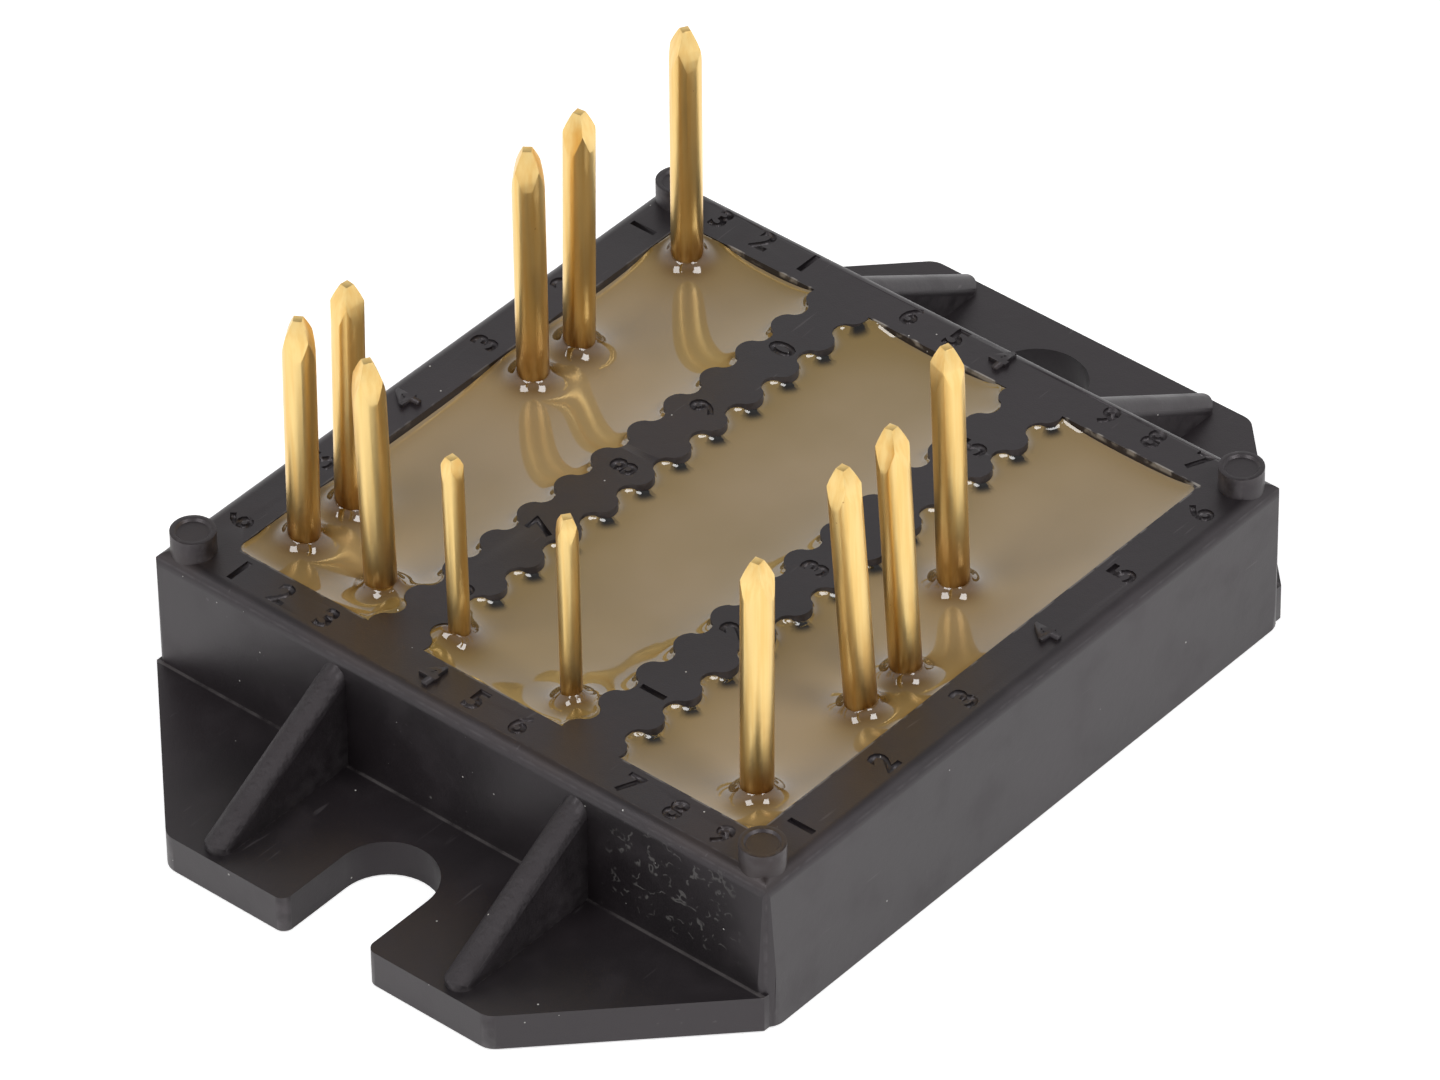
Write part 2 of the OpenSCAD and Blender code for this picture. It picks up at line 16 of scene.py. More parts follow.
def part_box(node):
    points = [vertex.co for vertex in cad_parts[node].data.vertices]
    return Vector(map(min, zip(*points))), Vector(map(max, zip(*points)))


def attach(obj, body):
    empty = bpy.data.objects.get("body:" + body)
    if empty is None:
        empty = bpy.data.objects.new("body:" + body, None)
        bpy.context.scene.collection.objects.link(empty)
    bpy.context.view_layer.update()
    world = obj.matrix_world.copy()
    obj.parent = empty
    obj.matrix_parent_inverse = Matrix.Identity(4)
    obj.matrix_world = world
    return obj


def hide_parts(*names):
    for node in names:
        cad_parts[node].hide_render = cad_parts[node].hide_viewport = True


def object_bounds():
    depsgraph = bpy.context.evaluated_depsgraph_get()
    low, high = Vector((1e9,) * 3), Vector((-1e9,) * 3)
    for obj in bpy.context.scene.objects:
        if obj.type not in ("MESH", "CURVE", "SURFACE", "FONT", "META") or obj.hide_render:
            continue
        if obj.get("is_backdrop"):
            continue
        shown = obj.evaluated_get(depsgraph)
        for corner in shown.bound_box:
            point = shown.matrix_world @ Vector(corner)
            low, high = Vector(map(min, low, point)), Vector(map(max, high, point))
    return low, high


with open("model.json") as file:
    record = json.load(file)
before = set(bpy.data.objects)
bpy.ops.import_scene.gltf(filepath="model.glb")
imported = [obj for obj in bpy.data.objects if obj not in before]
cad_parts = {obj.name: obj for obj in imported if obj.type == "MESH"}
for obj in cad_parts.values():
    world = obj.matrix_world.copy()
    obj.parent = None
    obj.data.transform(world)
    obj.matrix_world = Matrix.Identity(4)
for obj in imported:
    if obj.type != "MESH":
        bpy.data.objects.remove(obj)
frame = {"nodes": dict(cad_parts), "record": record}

LOG = logging.getLogger("power_module")
MM = 0.001
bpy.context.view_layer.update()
THICK_PIN_MM = 1.5
THIN_PIN_MM = 1.0
# How far and along which axis a net is rolled to lay each of a mesh's four neighbours over it.
NEIGHBOURS = [(1, 0), (-1, 0), (1, 1), (-1, 1)]

Colour = tuple[float, float, float]


class Body(Enum):
    """The one body that every piece rides on."""

    ROOT = "root"


class Slot(Enum):
    """The record's material slots for the new pieces."""

    FRAME = "frame_plastic"
    GEL = "gel"
    PIN = "pin_gold"


def srgb(red: int, green: int, blue: int) -> Colour:
    """A colour as it is seen on a screen, turned into the linear values a shader takes.

    Args:
        red: how much red it has, from 0 to 255.
        green: how much green.
        blue: how much blue.

    Returns:
        The linear colour.
    """

    def linear(level: int) -> float:
        """One channel, from 0 to 255, made linear."""
        share = level / 255
        return share / 12.92 if share <= 0.04045 else ((share + 0.055) / 1.055) ** 2.4

    return (linear(red), linear(green), linear(blue))


def clamped(value: float) -> float:
    """A value kept from 0 to 1."""
    return min(max(value, 0.0), 1.0)


def pin_width(name: str) -> float:
    """A pin's width in millimetres, by its name: the thermistor's two pins are the thin ones."""
    return THIN_PIN_MM if "ntc" in name else THICK_PIN_MM


# ---------------------------------------------------------------------------
# Shaders
# ---------------------------------------------------------------------------


@dataclass(frozen=True)
class Signal:
    """One output of a node graph, with arithmetic written as plain operators."""

    graph: "Graph"
    socket: bpy.types.NodeSocket

    def _with(self, operation: str, *others: "Signal | float") -> "Signal":
        """This signal put through a Math node.

        Args:
            operation: the node's operation.
            others: the further inputs, each a signal or a number.

        Returns:
            The node's output.
        """
        node = self.graph.add("ShaderNodeMath")
        node.operation = operation
        self.graph.join(self, node.inputs[0])
        for index, other in enumerate(others, start=1):
            self.graph.join(other, node.inputs[index])
        return Signal(self.graph, node.outputs[0])

    def __add__(self, other: "Signal | float") -> "Signal":
        """The sum of the two."""
        return self._with("ADD", other)

    def __sub__(self, other: "Signal | float") -> "Signal":
        """This less the other."""
        return self._with("SUBTRACT", other)

    def __mul__(self, other: "Signal | float") -> "Signal":
        """The product of the two."""
        return self._with("MULTIPLY", other)

    def larger(self, other: "Signal | float") -> "Signal":
        """The larger of the two."""
        return self._with("MAXIMUM", other)

    def size(self) -> "Signal":
        """This signal without its sign."""
        return self._with("ABSOLUTE")

    def band(self, low: float, high: float, soft: float) -> "Signal":
        """One where the signal lies between low and high, with edges that fade over soft."""
        return self.eased(low - soft, low) * self.eased(high + soft, high)

    def eased(self, low: float, high: float) -> "Signal":
        """A smooth step, which falls instead of rising where high is the lower one.

        Args:
            low: where the step is still 0.
            high: where it has reached 1.

        Returns:
            The step.
        """
        node = self.graph.add("ShaderNodeMapRange")
        node.interpolation_type = "SMOOTHSTEP"
        flipped = high < low
        node.inputs["From Min"].default_value = high if flipped else low
        node.inputs["From Max"].default_value = low if flipped else high
        node.inputs["To Min"].default_value = 1.0 if flipped else 0.0
        node.inputs["To Max"].default_value = 0.0 if flipped else 1.0
        self.graph.join(self, node.inputs["Value"])
        return Signal(self.graph, node.outputs["Result"])

    def between(self, low: float, high: float) -> "Signal":
        """This signal, which runs from 0 to 1, stretched to run from low to high."""
        return self * (high - low) + low


class Graph:
    """The node graph of one material, around a single Principled shader."""

    def __init__(self, name: str) -> None:
        """Makes the material and an empty graph for it.

        Args:
            name: the material's name.
        """
        self.material = bpy.data.materials.new(name)
        self.material.use_nodes = True
        self.tree = self.material.node_tree
        self.tree.nodes.clear()
        self.surface = self.add("ShaderNodeBsdfPrincipled")
        self.output = self.add("ShaderNodeOutputMaterial")
        self.tree.links.new(self.surface.outputs[0], self.output.inputs["Surface"])
        place = self.add("ShaderNodeTexCoord")
        self.place = Signal(self, place.outputs["Object"])
        self._axes: list[Signal] = []

    def add(self, kind: str) -> bpy.types.Node:
        """A new node of that kind."""
        return self.tree.nodes.new(kind)

    def join(self, value: "Signal | float | Colour", socket: bpy.types.NodeSocket) -> None:
        """Feeds a socket from a signal, or sets it to a number or colour.

        Args:
            value: what goes in.
            socket: the socket that takes it.
        """
        if isinstance(value, Signal):
            self.tree.links.new(value.socket, socket)
        elif isinstance(value, tuple) and len(socket.default_value) == 4:
            socket.default_value = (*value, 1.0)
        else:
            socket.default_value = value

    def fix(self, **settings: "float | Colour") -> None:
        """Sets constants on the shader's own sockets, named with underscores for spaces."""
        for name, value in settings.items():
            self.join(value, self.surface.inputs[name.replace("_", " ")])

    def feed(self, name: str, value: "Signal | float | Colour") -> None:
        """Feeds one of the shader's sockets."""
        self.join(value, self.surface.inputs[name])

    def along(self, axis: int) -> Signal:
        """The place along one axis.

        Args:
            axis: 0, 1 or 2 for X, Y or Z.

        Returns:
            The place, in millimetres.
        """
        if not self._axes:
            split = self.add("ShaderNodeSeparateXYZ")
            self.join(self.place, split.inputs[0])
            self._axes = [Signal(self, output) * (1 / MM) for output in split.outputs]
        return self._axes[axis]

    def stretched(self, scale: Vector) -> Signal:
        """The object's coordinates in metres, multiplied along each axis.

        Args:
            scale: the factor along each axis.

        Returns:
            The stretched coordinates.
        """
        node = self.add("ShaderNodeMapping")
        node.inputs["Scale"].default_value = scale
        self.join(self.place, node.inputs["Vector"])
        return Signal(self, node.outputs[0])

    def noise(self, grain_mm: float, detail: float = 3.0, stretch: Sequence[float] = (1, 1, 1)) -> Signal:
        """Cloudy noise, from 0 to 1.

        Args:
            grain_mm: the size of its largest lumps.
            detail: how many finer layers it has.
            stretch: how much longer the lumps are along each axis.

        Returns:
            The noise.
        """
        node = self.add("ShaderNodeTexNoise")
        node.inputs["Scale"].default_value = 1.0
        node.inputs["Detail"].default_value = detail
        per_metre = 1 / (grain_mm * MM)
        scale = Vector([per_metre / share for share in stretch])
        self.join(self.stretched(scale), node.inputs["Vector"])
        return Signal(self, node.outputs[0])

    def specks(self, pitch_mm: float, radius_mm: float, share: float, seed: float = 0.0) -> Signal:
        """Small round specks scattered over the surface, 1 inside a speck.

        Args:
            pitch_mm: the mean distance between the places a speck may stand.
            radius_mm: the largest speck's radius.
            share: the share of those places that hold one.
            seed: moves the scatter.

        Returns:
            A mask of the specks.
        """
        node = self.add("ShaderNodeTexVoronoi")
        node.inputs["Scale"].default_value = 1.0
        shift = self.add("ShaderNodeMapping")
        shift.inputs["Scale"].default_value = Vector((1, 1, 1)) / (pitch_mm * MM)
        shift.inputs["Location"].default_value = (seed, seed * 1.7, seed * 0.6)
        self.join(self.place, shift.inputs["Vector"])
        self.join(Signal(self, shift.outputs[0]), node.inputs["Vector"])
        reach = radius_mm / pitch_mm
        near = Signal(self, node.outputs["Distance"]).eased(reach, reach * 0.6)
        split = self.add("ShaderNodeSeparateColor")
        self.join(Signal(self, node.outputs["Color"]), split.inputs[0])
        return near * Signal(self, split.outputs[0]).eased(1 - share - 0.01, 1 - share)

    def shade(self, share: "Signal | float", low: "Signal | Colour", high: "Signal | Colour") -> Signal:
        """A colour between two others.

        Args:
            share: how far it is from low to high, from 0 to 1.
            low: the colour at 0.
            high: the colour at 1.

        Returns:
            The colour.
        """
        node = self.add("ShaderNodeMix")
        node.data_type = "RGBA"
        self.join(share, node.inputs[0])
        self.join(low, node.inputs[6])
        self.join(high, node.inputs[7])
        return Signal(self, node.outputs[2])

    def lay(self, mask: Signal, under: "Signal | Colour", layer: "Layer") -> Signal:
        """A colour with a layer over it.

        Args:
            mask: where the layer lies, from 0 to 1.
            under: the colour beneath.
            layer: the layer.

        Returns:
            The colour.
        """
        return self.shade(mask * layer.amount, under, layer.tone)

    def mark(self, name: str) -> Signal:
        """A value that the piece's own mesh carries.

        Args:
            name: the name of the mesh's attribute.

        Returns:
            The value.
        """
        node = self.add("ShaderNodeAttribute")
        node.attribute_name = name
        return Signal(self, node.outputs["Fac"])

    def relief(self, height: Signal, depth_mm: float, strength: float = 1.0) -> None:
        """Raises and sinks the surface.

        Args:
            height: the height, from 0 to 1.
            depth_mm: what a height of 1 measures.
            strength: how much of it shows.
        """
        node = self.add("ShaderNodeBump")
        node.inputs["Strength"].default_value = strength
        node.inputs["Distance"].default_value = depth_mm * MM
        self.join(height, node.inputs["Height"])
        self.join(Signal(self, node.outputs[0]), self.surface.inputs["Normal"])


@dataclass(frozen=True)
class Layer:
    """A tone laid over a finish, and how much of it shows."""

    tone: Colour
    amount: float = 1.0


@dataclass(frozen=True)
class Clouds:
    """Cloudy patches of noise.

    They have a grain and a number of finer layers, fade in between two values of the noise, run
    from one level to another, and may be longer along an axis.
    """

    grain_mm: float
    detail: float
    fade: tuple[float, float] | None = None
    levels: tuple[float, float] | None = None
    stretch: tuple[float, float, float] = (1, 1, 1)

    def on(self, g: Graph) -> Signal:
        """The patches on a material.

        Args:
            g: the material's graph.

        Returns:
            How strong they are at each place.
        """
        patches = g.noise(self.grain_mm, self.detail, self.stretch)
        if self.fade:
            patches = patches.eased(*self.fade)
        return patches.between(*self.levels) if self.levels else patches


@dataclass(frozen=True)
class Specks:
    """Small round specks, on a share of the places that lie a pitch apart."""

    pitch_mm: float
    radius_mm: float
    share: float
    seed: float = 0.0

    def on(self, g: Graph) -> Signal:
        """A mask of the specks on a material."""
        return g.specks(self.pitch_mm, self.radius_mm, self.share, self.seed)


@dataclass(frozen=True)
class MouldedPlastic:
    """Charcoal moulded plastic, finely grained, dusty, scuffed, pale where thin flash is left, with a
    painted highlight along the flange fillets.

    The ribs and bars are given by their middle and half width, the flash by where it starts and
    ends from an edge and how it fades, and the relief by its depth in millimetres and its share.
    """

    body: Colour = srgb(33, 28, 31)
    smoke: Colour = srgb(26, 23, 25)
    bloom: Layer = Layer(srgb(56, 51, 54), 0.16)
    amber: Layer = Layer(srgb(44, 31, 22), 0.45)
    scratch: Layer = Layer(srgb(74, 70, 72), 0.55)
    worn: Layer = Layer(srgb(74, 70, 72), 0.7)
    flash: Layer = Layer(srgb(168, 162, 154), 0.8)
    # Pale tone of the painted highlight along the fillets where the flanges meet the walls.
    fillet_highlight: Layer = Layer(srgb(92, 88, 88), 0.9)
    dust: Layer = Layer(srgb(214, 212, 208))
    clouds: Clouds = Clouds(9.0, 4, (0.35, 0.7))
    haze: Clouds = Clouds(2.2, 5, (0.45, 0.75))
    amber_patches: Clouds = Clouds(6.0, 3, (0.4, 0.62))
    scratches: Clouds = Clouds(0.3, 1, (0.7, 0.76), stretch=(12, 1, 1))
    scratch_patches: Clouds = Clouds(2.4, 1, (0.52, 0.6))
    worn_patches: Clouds = Clouds(0.7, 3, (0.3, 0.7))
    fillet_highlight_breaks: Clouds = Clouds(1.6, 4, (0.3, 0.6))
    flash_breaks: Clouds = Clouds(1.1, 3, (0.46, 0.58))
    dots: tuple[Specks, Specks] = (Specks(1.1, 0.05, 0.3), Specks(3.2, 0.085, 0.5, 3.1))
    crumbs: Specks = Specks(0.45, 0.055, 0.3, 5.2)
    crumb_patches: Clouds = Clouds(1.1, 2, (0.5, 0.6))
    curls: Clouds = Clouds(0.8, 2)
    curl_band: tuple[float, float, float] = (0.505, 0.52, 0.03)
    curl_patches: Clouds = Clouds(0.5, 1, (0.5, 0.62))
    curl_amount: float = 0.17
    grain: tuple[Clouds, Clouds] = (Clouds(0.07, 2, levels=(0, 0.4)), Clouds(0.5, 3, levels=(0, 0.5)))
    rib_grain: Clouds = Clouds(0.34, 3, (0.3, 0.7), (0, 2.2))
    dust_height: float = 0.8
    relief: tuple[float, float] = (0.014, 0.8)
    rough: tuple[float, float] = (0.4, 0.5)
    dust_rough: float = 0.3
    rib_rough: float = 0.2
    wall_mm: float = 18.0
    flange_top_mm: float = 2.0
    top_mm: float = 8.1
    window_mm: tuple[float, float] = (15.25, 15.1)
    rib_mm: tuple[float, float] = (7.0, 0.72)
    bar_mm: tuple[float, float] = (5.65, 1.75)
    line_mm: tuple[float, float, float] = (-0.04, 0.07, 0.03)
    warm_mm: tuple[float, float] = (-11.0, -17.5)
    scuffed_mm: tuple[tuple[float, float], tuple[float, float]] = ((-14.8, -10.0), (3.4, 7.0))

    def fillet_highlight_lines(self, g: Graph) -> Signal:
        """A painted highlight along the fillets where the flanges meet the walls, thick and thin by turns.

        Args:
            g: the material's graph.

        Returns:
            A mask of the painted highlight.
        """
        x, z = g.along(0), g.along(2)
        foot = z.band(self.flange_top_mm - 0.03, self.flange_top_mm + 0.05, 0.02)
        foot = foot * x.size().band(self.wall_mm - 0.1, self.wall_mm + 0.07, 0.03)
        return foot * self.fillet_highlight_breaks.on(g)

    def flash_lines(self, g: Graph) -> Signal:
        """The thin flash left round the opening, broken into dashes.

        Args:
            g: the material's graph.

        Returns:
            A mask of the flash.
        """
        x, y, z = (g.along(axis) for axis in range(3))
        past_end, past_side = x.size() - self.window_mm[0], y.size() - self.window_mm[1]
        bar_middle, bar_half = self.bar_mm
        ends = past_end.band(*self.line_mm) * past_side.eased(0.05, 0)
        ends = ends * (y.size() - bar_middle).size().eased(bar_half, bar_half + 0.2)
        sides = past_side.band(*self.line_mm) * past_end.eased(0.05, 0)
        ends = ends * x.eased(-1.0, 1.0).between(0.35, 1.0)
        rim = ends.larger(sides * y.eased(1.0, -1.0).between(0.2, 0.4))
        return rim * z.eased(self.top_mm - 0.3, self.top_mm - 0.15) * self.flash_breaks.on(g)

    def ridges(self, g: Graph) -> Signal:
        """The rounded ridges of the ribs.

        Args:
            g: the material's graph.

        Returns:
            A mask of the ridges, stronger at the slotted end.
        """
        x, y, z = (g.along(axis) for axis in range(3))
        middle, half = self.rib_mm
        ridge = (y.size() - middle).size().eased(half + 0.05, half - 0.1)
        ridge = ridge * x.size().eased(self.wall_mm, self.wall_mm + 0.4)
        ridge = ridge * z.eased(self.flange_top_mm + 0.1, self.flange_top_mm + 0.4)
        return ridge * x.eased(5.0, -5.0).between(0.1, 1.0)

    def scuffs(self, g: Graph) -> Signal:
        """The scuffed patch of the slotted end's wall: curled scrapes with a few crumbs among them.

        Args:
            g: the material's graph.

        Returns:
            A mask of the scuffs.
        """
        x, y, z = (g.along(axis) for axis in range(3))
        along, up = self.scuffed_mm
        patch = x.eased(0.4 - self.wall_mm, 0.1 - self.wall_mm) * y.band(*along, 2.0) * z.band(*up, 1.0)
        crumbs = self.crumbs.on(g) * self.crumb_patches.on(g)
        curls = self.curls.on(g).band(*self.curl_band) * self.curl_patches.on(g)
        return patch * crumbs.larger(curls * self.curl_amount)

    def material(self) -> bpy.types.Material:
        """Builds the material.

        Returns:
            The plastic.
        """
        g = Graph("moulded_plastic")
        haze, ridges = self.haze.on(g), self.ridges(g)
        colour = g.shade(self.clouds.on(g), self.smoke, self.body)
        colour = g.lay(haze, colour, self.bloom)
        warm = g.along(0).eased(*self.warm_mm) * g.along(2).eased(self.top_mm - 0.5, self.top_mm - 0.1)
        colour = g.lay(warm * self.amber_patches.on(g), colour, self.amber)
        colour = g.lay(self.scratches.on(g) * self.scratch_patches.on(g), colour, self.scratch)
        colour = g.lay(g.mark("worn") * self.worn_patches.on(g), colour, self.worn)
        colour = g.lay(self.flash_lines(g), colour, self.flash)
        # Painted highlight along the fillets where the flanges meet the walls.
        colour = g.lay(self.fillet_highlight_lines(g), colour, self.fillet_highlight)
        small, large = (dots.on(g) for dots in self.dots)
        dots = small.larger(large).larger(self.scuffs(g))
        g.feed("Base Color", g.lay(dots, colour, self.dust))
        g.feed("Roughness", haze.between(*self.rough) + dots * self.dust_rough + ridges * self.rib_rough)
        fine, coarse = (grain.on(g) for grain in self.grain)
        height = fine + coarse + dots * self.dust_height + ridges * self.rib_grain.on(g)
        g.relief(height, *self.relief)
        g.fix(IOR=1.56, Specular_Tint=(1.0, 0.93, 0.97))
        return g.material


@dataclass(frozen=True)
class GoldFlash:
    """Thin gold over copper on the pins, with a painted dark reflection of the gel streaked up from the
    foot, and finely drawn along the pin.
    """

    bright: Colour = srgb(238, 206, 138)
    deep: Layer = Layer(srgb(232, 186, 104), 0.5)
    tarnish: Layer = Layer(srgb(186, 134, 78), 0.75)
    # Tone of the painted dark reflection of the gel on the pin's foot.
    painted_gel_reflection: Layer = Layer(srgb(128, 84, 36), 0.9)
    pitted: Layer = Layer(srgb(186, 134, 78), 0.7)
    drawn: Clouds = Clouds(0.25, 3, (0.35, 0.7), stretch=(1, 1, 26))
    patches: Clouds = Clouds(1.6, 4, (0.4, 0.72), stretch=(1, 1, 2.5))
    gel_reflection_streaks: Clouds = Clouds(0.5, 3, (0.3, 0.68), (0.25, 1.0), (1, 1, 6))
    pits: Specks = Specks(0.8, 0.05, 0.16, 1.3)
    fine_wear: Clouds = Clouds(0.12, 2, levels=(0, 0.4), stretch=(1, 1, 9))
    broad_wear: Clouds = Clouds(0.9, 2, levels=(0, 0.9), stretch=(1, 1, 2))
    pit_depth: float = 0.6
    relief: tuple[float, float] = (0.012, 0.8)
    rough: tuple[float, float] = (0.29, 0.36)
    patch_rough: float = 0.06
    foot_mm: float = 8.1
    clean_mm: float = 14.0
    painted_gel_reflection_mm: float = 2.3

    def material(self) -> bpy.types.Material:
        """Builds the material.

        Returns:
            The gold.
        """
        g = Graph("gold_flash")
        drawn, patches, pits = self.drawn.on(g), self.patches.on(g), self.pits.on(g)
        colour = g.lay(drawn, self.bright, self.deep)
        low = g.along(2).eased(self.clean_mm, self.foot_mm)
        colour = g.lay(patches * low, colour, self.tarnish)
        # A painted dark reflection of the gel, in streaks up the pin's lowest part.
        gel_reflection_reach = g.along(2).eased(self.foot_mm + self.painted_gel_reflection_mm, self.foot_mm)
        colour = g.lay(gel_reflection_reach * self.gel_reflection_streaks.on(g), colour, self.painted_gel_reflection)
        g.feed("Base Color", g.lay(pits, colour, self.pitted))
        g.feed("Roughness", drawn.between(*self.rough) + patches * self.patch_rough)
        height = self.fine_wear.on(g) + self.broad_wear.on(g) - pits * self.pit_depth
        g.relief(height, *self.relief)
        g.fix(Metallic=1.0)
        return g.material


@dataclass(frozen=True)
class SiliconeGel:
    """Milky silicone gel, glossy on top, with painted shade where it climbs, a painted dark reflection of
    each pin round its foot, and painted dark patches at the camera-facing lobe fronts.
    """

    body: Colour = srgb(152, 128, 82)
    milk: Layer = Layer(srgb(165, 141, 102))
    # Tone of the painted shade where the gel climbs the walls and pins.
    painted_wall_shade: Layer = Layer(srgb(124, 100, 40))
    # Tone of the painted dark reflection of each pin in the gel round its foot.
    foot: Layer = Layer(srgb(106, 72, 16))
    # Tone of the painted dark patch at the camera-facing lobe fronts.
    deep: Layer = Layer(srgb(14, 12, 12))
    mote: Layer = Layer(srgb(165, 141, 102), 0.6)
    clouds: Clouds = Clouds(11.0, 3, (0.35, 0.68))
    painted_wall_shade_patches: Clouds = Clouds(3.0, 2, levels=(0.4, 0.8))
    painted_pin_reflection_patches: Clouds = Clouds(0.8, 2, levels=(0.8, 1.1))
    motes: Specks = Specks(1.9, 0.05, 0.16, 0.4)
    mote_height: float = 0.05
    swell: Clouds = Clouds(7.0, 1)
    relief: tuple[float, float] = (0.05, 0.5)
    rough: Clouds = Clouds(6.0, 2, (0.4, 0.7), (0.035, 0.075))

    def material(self) -> bpy.types.Material:
        """Builds the material, which reads the marks that the gel's skin carries.

        Returns:
            The gel.
        """
        g = Graph("silicone_gel")
        motes = self.motes.on(g)
        colour = g.lay(self.clouds.on(g), self.body, self.milk)
        # Painted shade where the gel climbs the walls and pins.
        colour = g.lay(g.mark("climb") * self.painted_wall_shade_patches.on(g), colour, self.painted_wall_shade)
        # Painted dark reflection of each pin in the gel round its foot.
        colour = g.lay(g.mark("foot") * self.painted_pin_reflection_patches.on(g), colour, self.foot)
        # Painted dark patch at the camera-facing lobe fronts.
        colour = g.lay(g.mark("clear"), colour, self.deep)
        g.feed("Base Color", g.lay(motes, colour, self.mote))
        g.feed("Roughness", self.rough.on(g))
        g.relief(self.swell.on(g) + motes * self.mote_height, *self.relief)
        g.fix(IOR=1.46, Coat_Weight=0.8, Coat_Roughness=0.03)
        return g.material


@dataclass(frozen=True)
class Mottled:
    """A finish of two mottled tones with fine relief, for the plainer pieces."""

    name: str
    tone: Colour
    other: Colour
    metallic: float
    rough: tuple[float, float]
    grain_mm: float
    depth_mm: float = 0.004
    stretch: tuple[float, float, float] = (1, 1, 1)
    cloud_grains: float = 12.0
    cloud_fade: tuple[float, float] = (0.3, 0.72)
    fine_fade: tuple[float, float] = (0.5, 0.8)
    fine_amount: float = 0.4
    spots: Specks | None = None
    spot: Colour = (0.1, 0.05, 0.03)

    def material(self) -> bpy.types.Material:
        """Builds the material.

        Returns:
            The finish.
        """
        g = Graph(self.name)
        clouds = Clouds(self.grain_mm * self.cloud_grains, 4, self.cloud_fade).on(g)
        fine = Clouds(self.grain_mm, 3, stretch=self.stretch).on(g)
        colour = g.shade(clouds, self.tone, self.other)
        colour = g.shade(fine.eased(*self.fine_fade) * self.fine_amount, colour, self.other)
        if self.spots:
            colour = g.shade(self.spots.on(g) * clouds, colour, self.spot)
        g.feed("Base Color", colour)
        g.feed("Roughness", fine.between(*self.rough))
        g.relief(fine, self.depth_mm)
        g.fix(Metallic=self.metallic)
        return g.material


COPPER = Mottled("bare_copper", srgb(205, 128, 92), srgb(168, 92, 62), 1.0, (0.26, 0.42), 0.16,
                 stretch=(1, 14, 1), spots=Specks(2.2, 0.5, 0.12, 2.2))
CERAMIC = Mottled("alumina", srgb(232, 230, 222), srgb(214, 212, 204), 0.0, (0.42, 0.6), 0.08)
BEAD = Mottled("sealing_silicone", srgb(150, 150, 148), srgb(120, 121, 120), 0.0, (0.35, 0.5), 0.3, 0.02)
TIN = Mottled("tin_solder", srgb(206, 206, 204), srgb(150, 150, 150), 1.0, (0.22, 0.4), 0.2, 0.01)
SILICON = Mottled("metallised_silicon", srgb(120, 122, 132), srgb(84, 86, 98), 0.7, (0.2, 0.32), 0.3)
WIRE = Mottled("drawn_aluminium", srgb(214, 215, 217), srgb(176, 177, 180), 1.0, (0.25, 0.38), 0.05)
RESISTOR = Mottled("thermistor_body", srgb(58, 66, 52), srgb(36, 42, 34), 0.0, (0.3, 0.45), 0.1)


# ---------------------------------------------------------------------------
# Mesh helpers
# ---------------------------------------------------------------------------


def as_piece(bm: bmesh.types.BMesh, name: str, material: bpy.types.Material, smooth_deg: float = 30.0
             ) -> bpy.types.Object:
    """Turns a bmesh into an object of the scene.

    Args:
        bm: the finished bmesh, which is freed.
        name: the piece's name.
        material: its material.
        smooth_deg: edges flatter than this are shaded smooth.

    Returns:
        The new object.
    """
    mesh = bpy.data.meshes.new(name)
    bm.to_mesh(mesh)
    bm.free()
    piece = bpy.data.objects.new(name, mesh)
    bpy.context.scene.collection.objects.link(piece)
    mesh.materials.append(material)
    soften(mesh, smooth_deg)
    return piece


def soften(mesh: bpy.types.Mesh, smooth_deg: float) -> None:
    """Shades a mesh smooth, apart from edges sharper than the angle."""
    mesh.shade_smooth()
    mesh.set_sharp_from_angle(angle=math.radians(smooth_deg))


def bake(piece: bpy.types.Object) -> None:
    """Applies a piece's modifiers to its mesh.

    Args:
        piece: the piece.
    """
    graph = bpy.context.evaluated_depsgraph_get()
    mesh = bpy.data.meshes.new_from_object(piece.evaluated_get(graph))
    old = piece.data
    piece.modifiers.clear()
    piece.data = mesh
    bpy.data.meshes.remove(old)
    mesh.name = piece.name


def seat(piece: bpy.types.Object, slot: Slot, *nodes: str) -> None:
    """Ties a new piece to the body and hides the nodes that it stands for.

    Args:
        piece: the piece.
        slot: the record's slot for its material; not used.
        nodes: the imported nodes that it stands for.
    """
    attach(piece, Body.ROOT.value)
    if nodes:
        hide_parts(*nodes)
    LOG.info("%s: %d faces", piece.name, len(piece.data.polygons))


def merged_copy(node: str) -> bmesh.types.BMesh:
    """A node's triangles as one joined mesh.

    Args:
        node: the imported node's name.

    Returns:
        The joined mesh.
    """
    bm = bmesh.new()
    bm.from_mesh(frame["nodes"][node].data)
    bmesh.ops.remove_doubles(bm, verts=bm.verts, dist=1e-7)
    return bm


def dress(nodes: Iterable[str], material: bpy.types.Material) -> None:
    """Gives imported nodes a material.

    Args:
        nodes: the nodes' names.
        material: the material.
    """
    for name in nodes:
        slots = frame["nodes"][name].data.materials
        slots.clear()
        slots.append(material)
        LOG.info("%s: %s", name, material.name)


# ---------------------------------------------------------------------------
# Sub-assemblies
# ---------------------------------------------------------------------------


@dataclass(frozen=True)
class DigitRow:
    """A line of sunken digits on the moulding's top."""

    digits: str
    start_mm: tuple[float, float]
    step_mm: tuple[float, float]
    turn_deg: float = 0.0

    def places(self) -> list[tuple[str, Vector, float]]:
        """Each digit with its place on the top and its turn."""
        start, step, turn = Vector(self.start_mm), Vector(self.step_mm), math.radians(self.turn_deg)
        return [(mark, start + step * index, turn) for index, mark in enumerate(self.digits)]


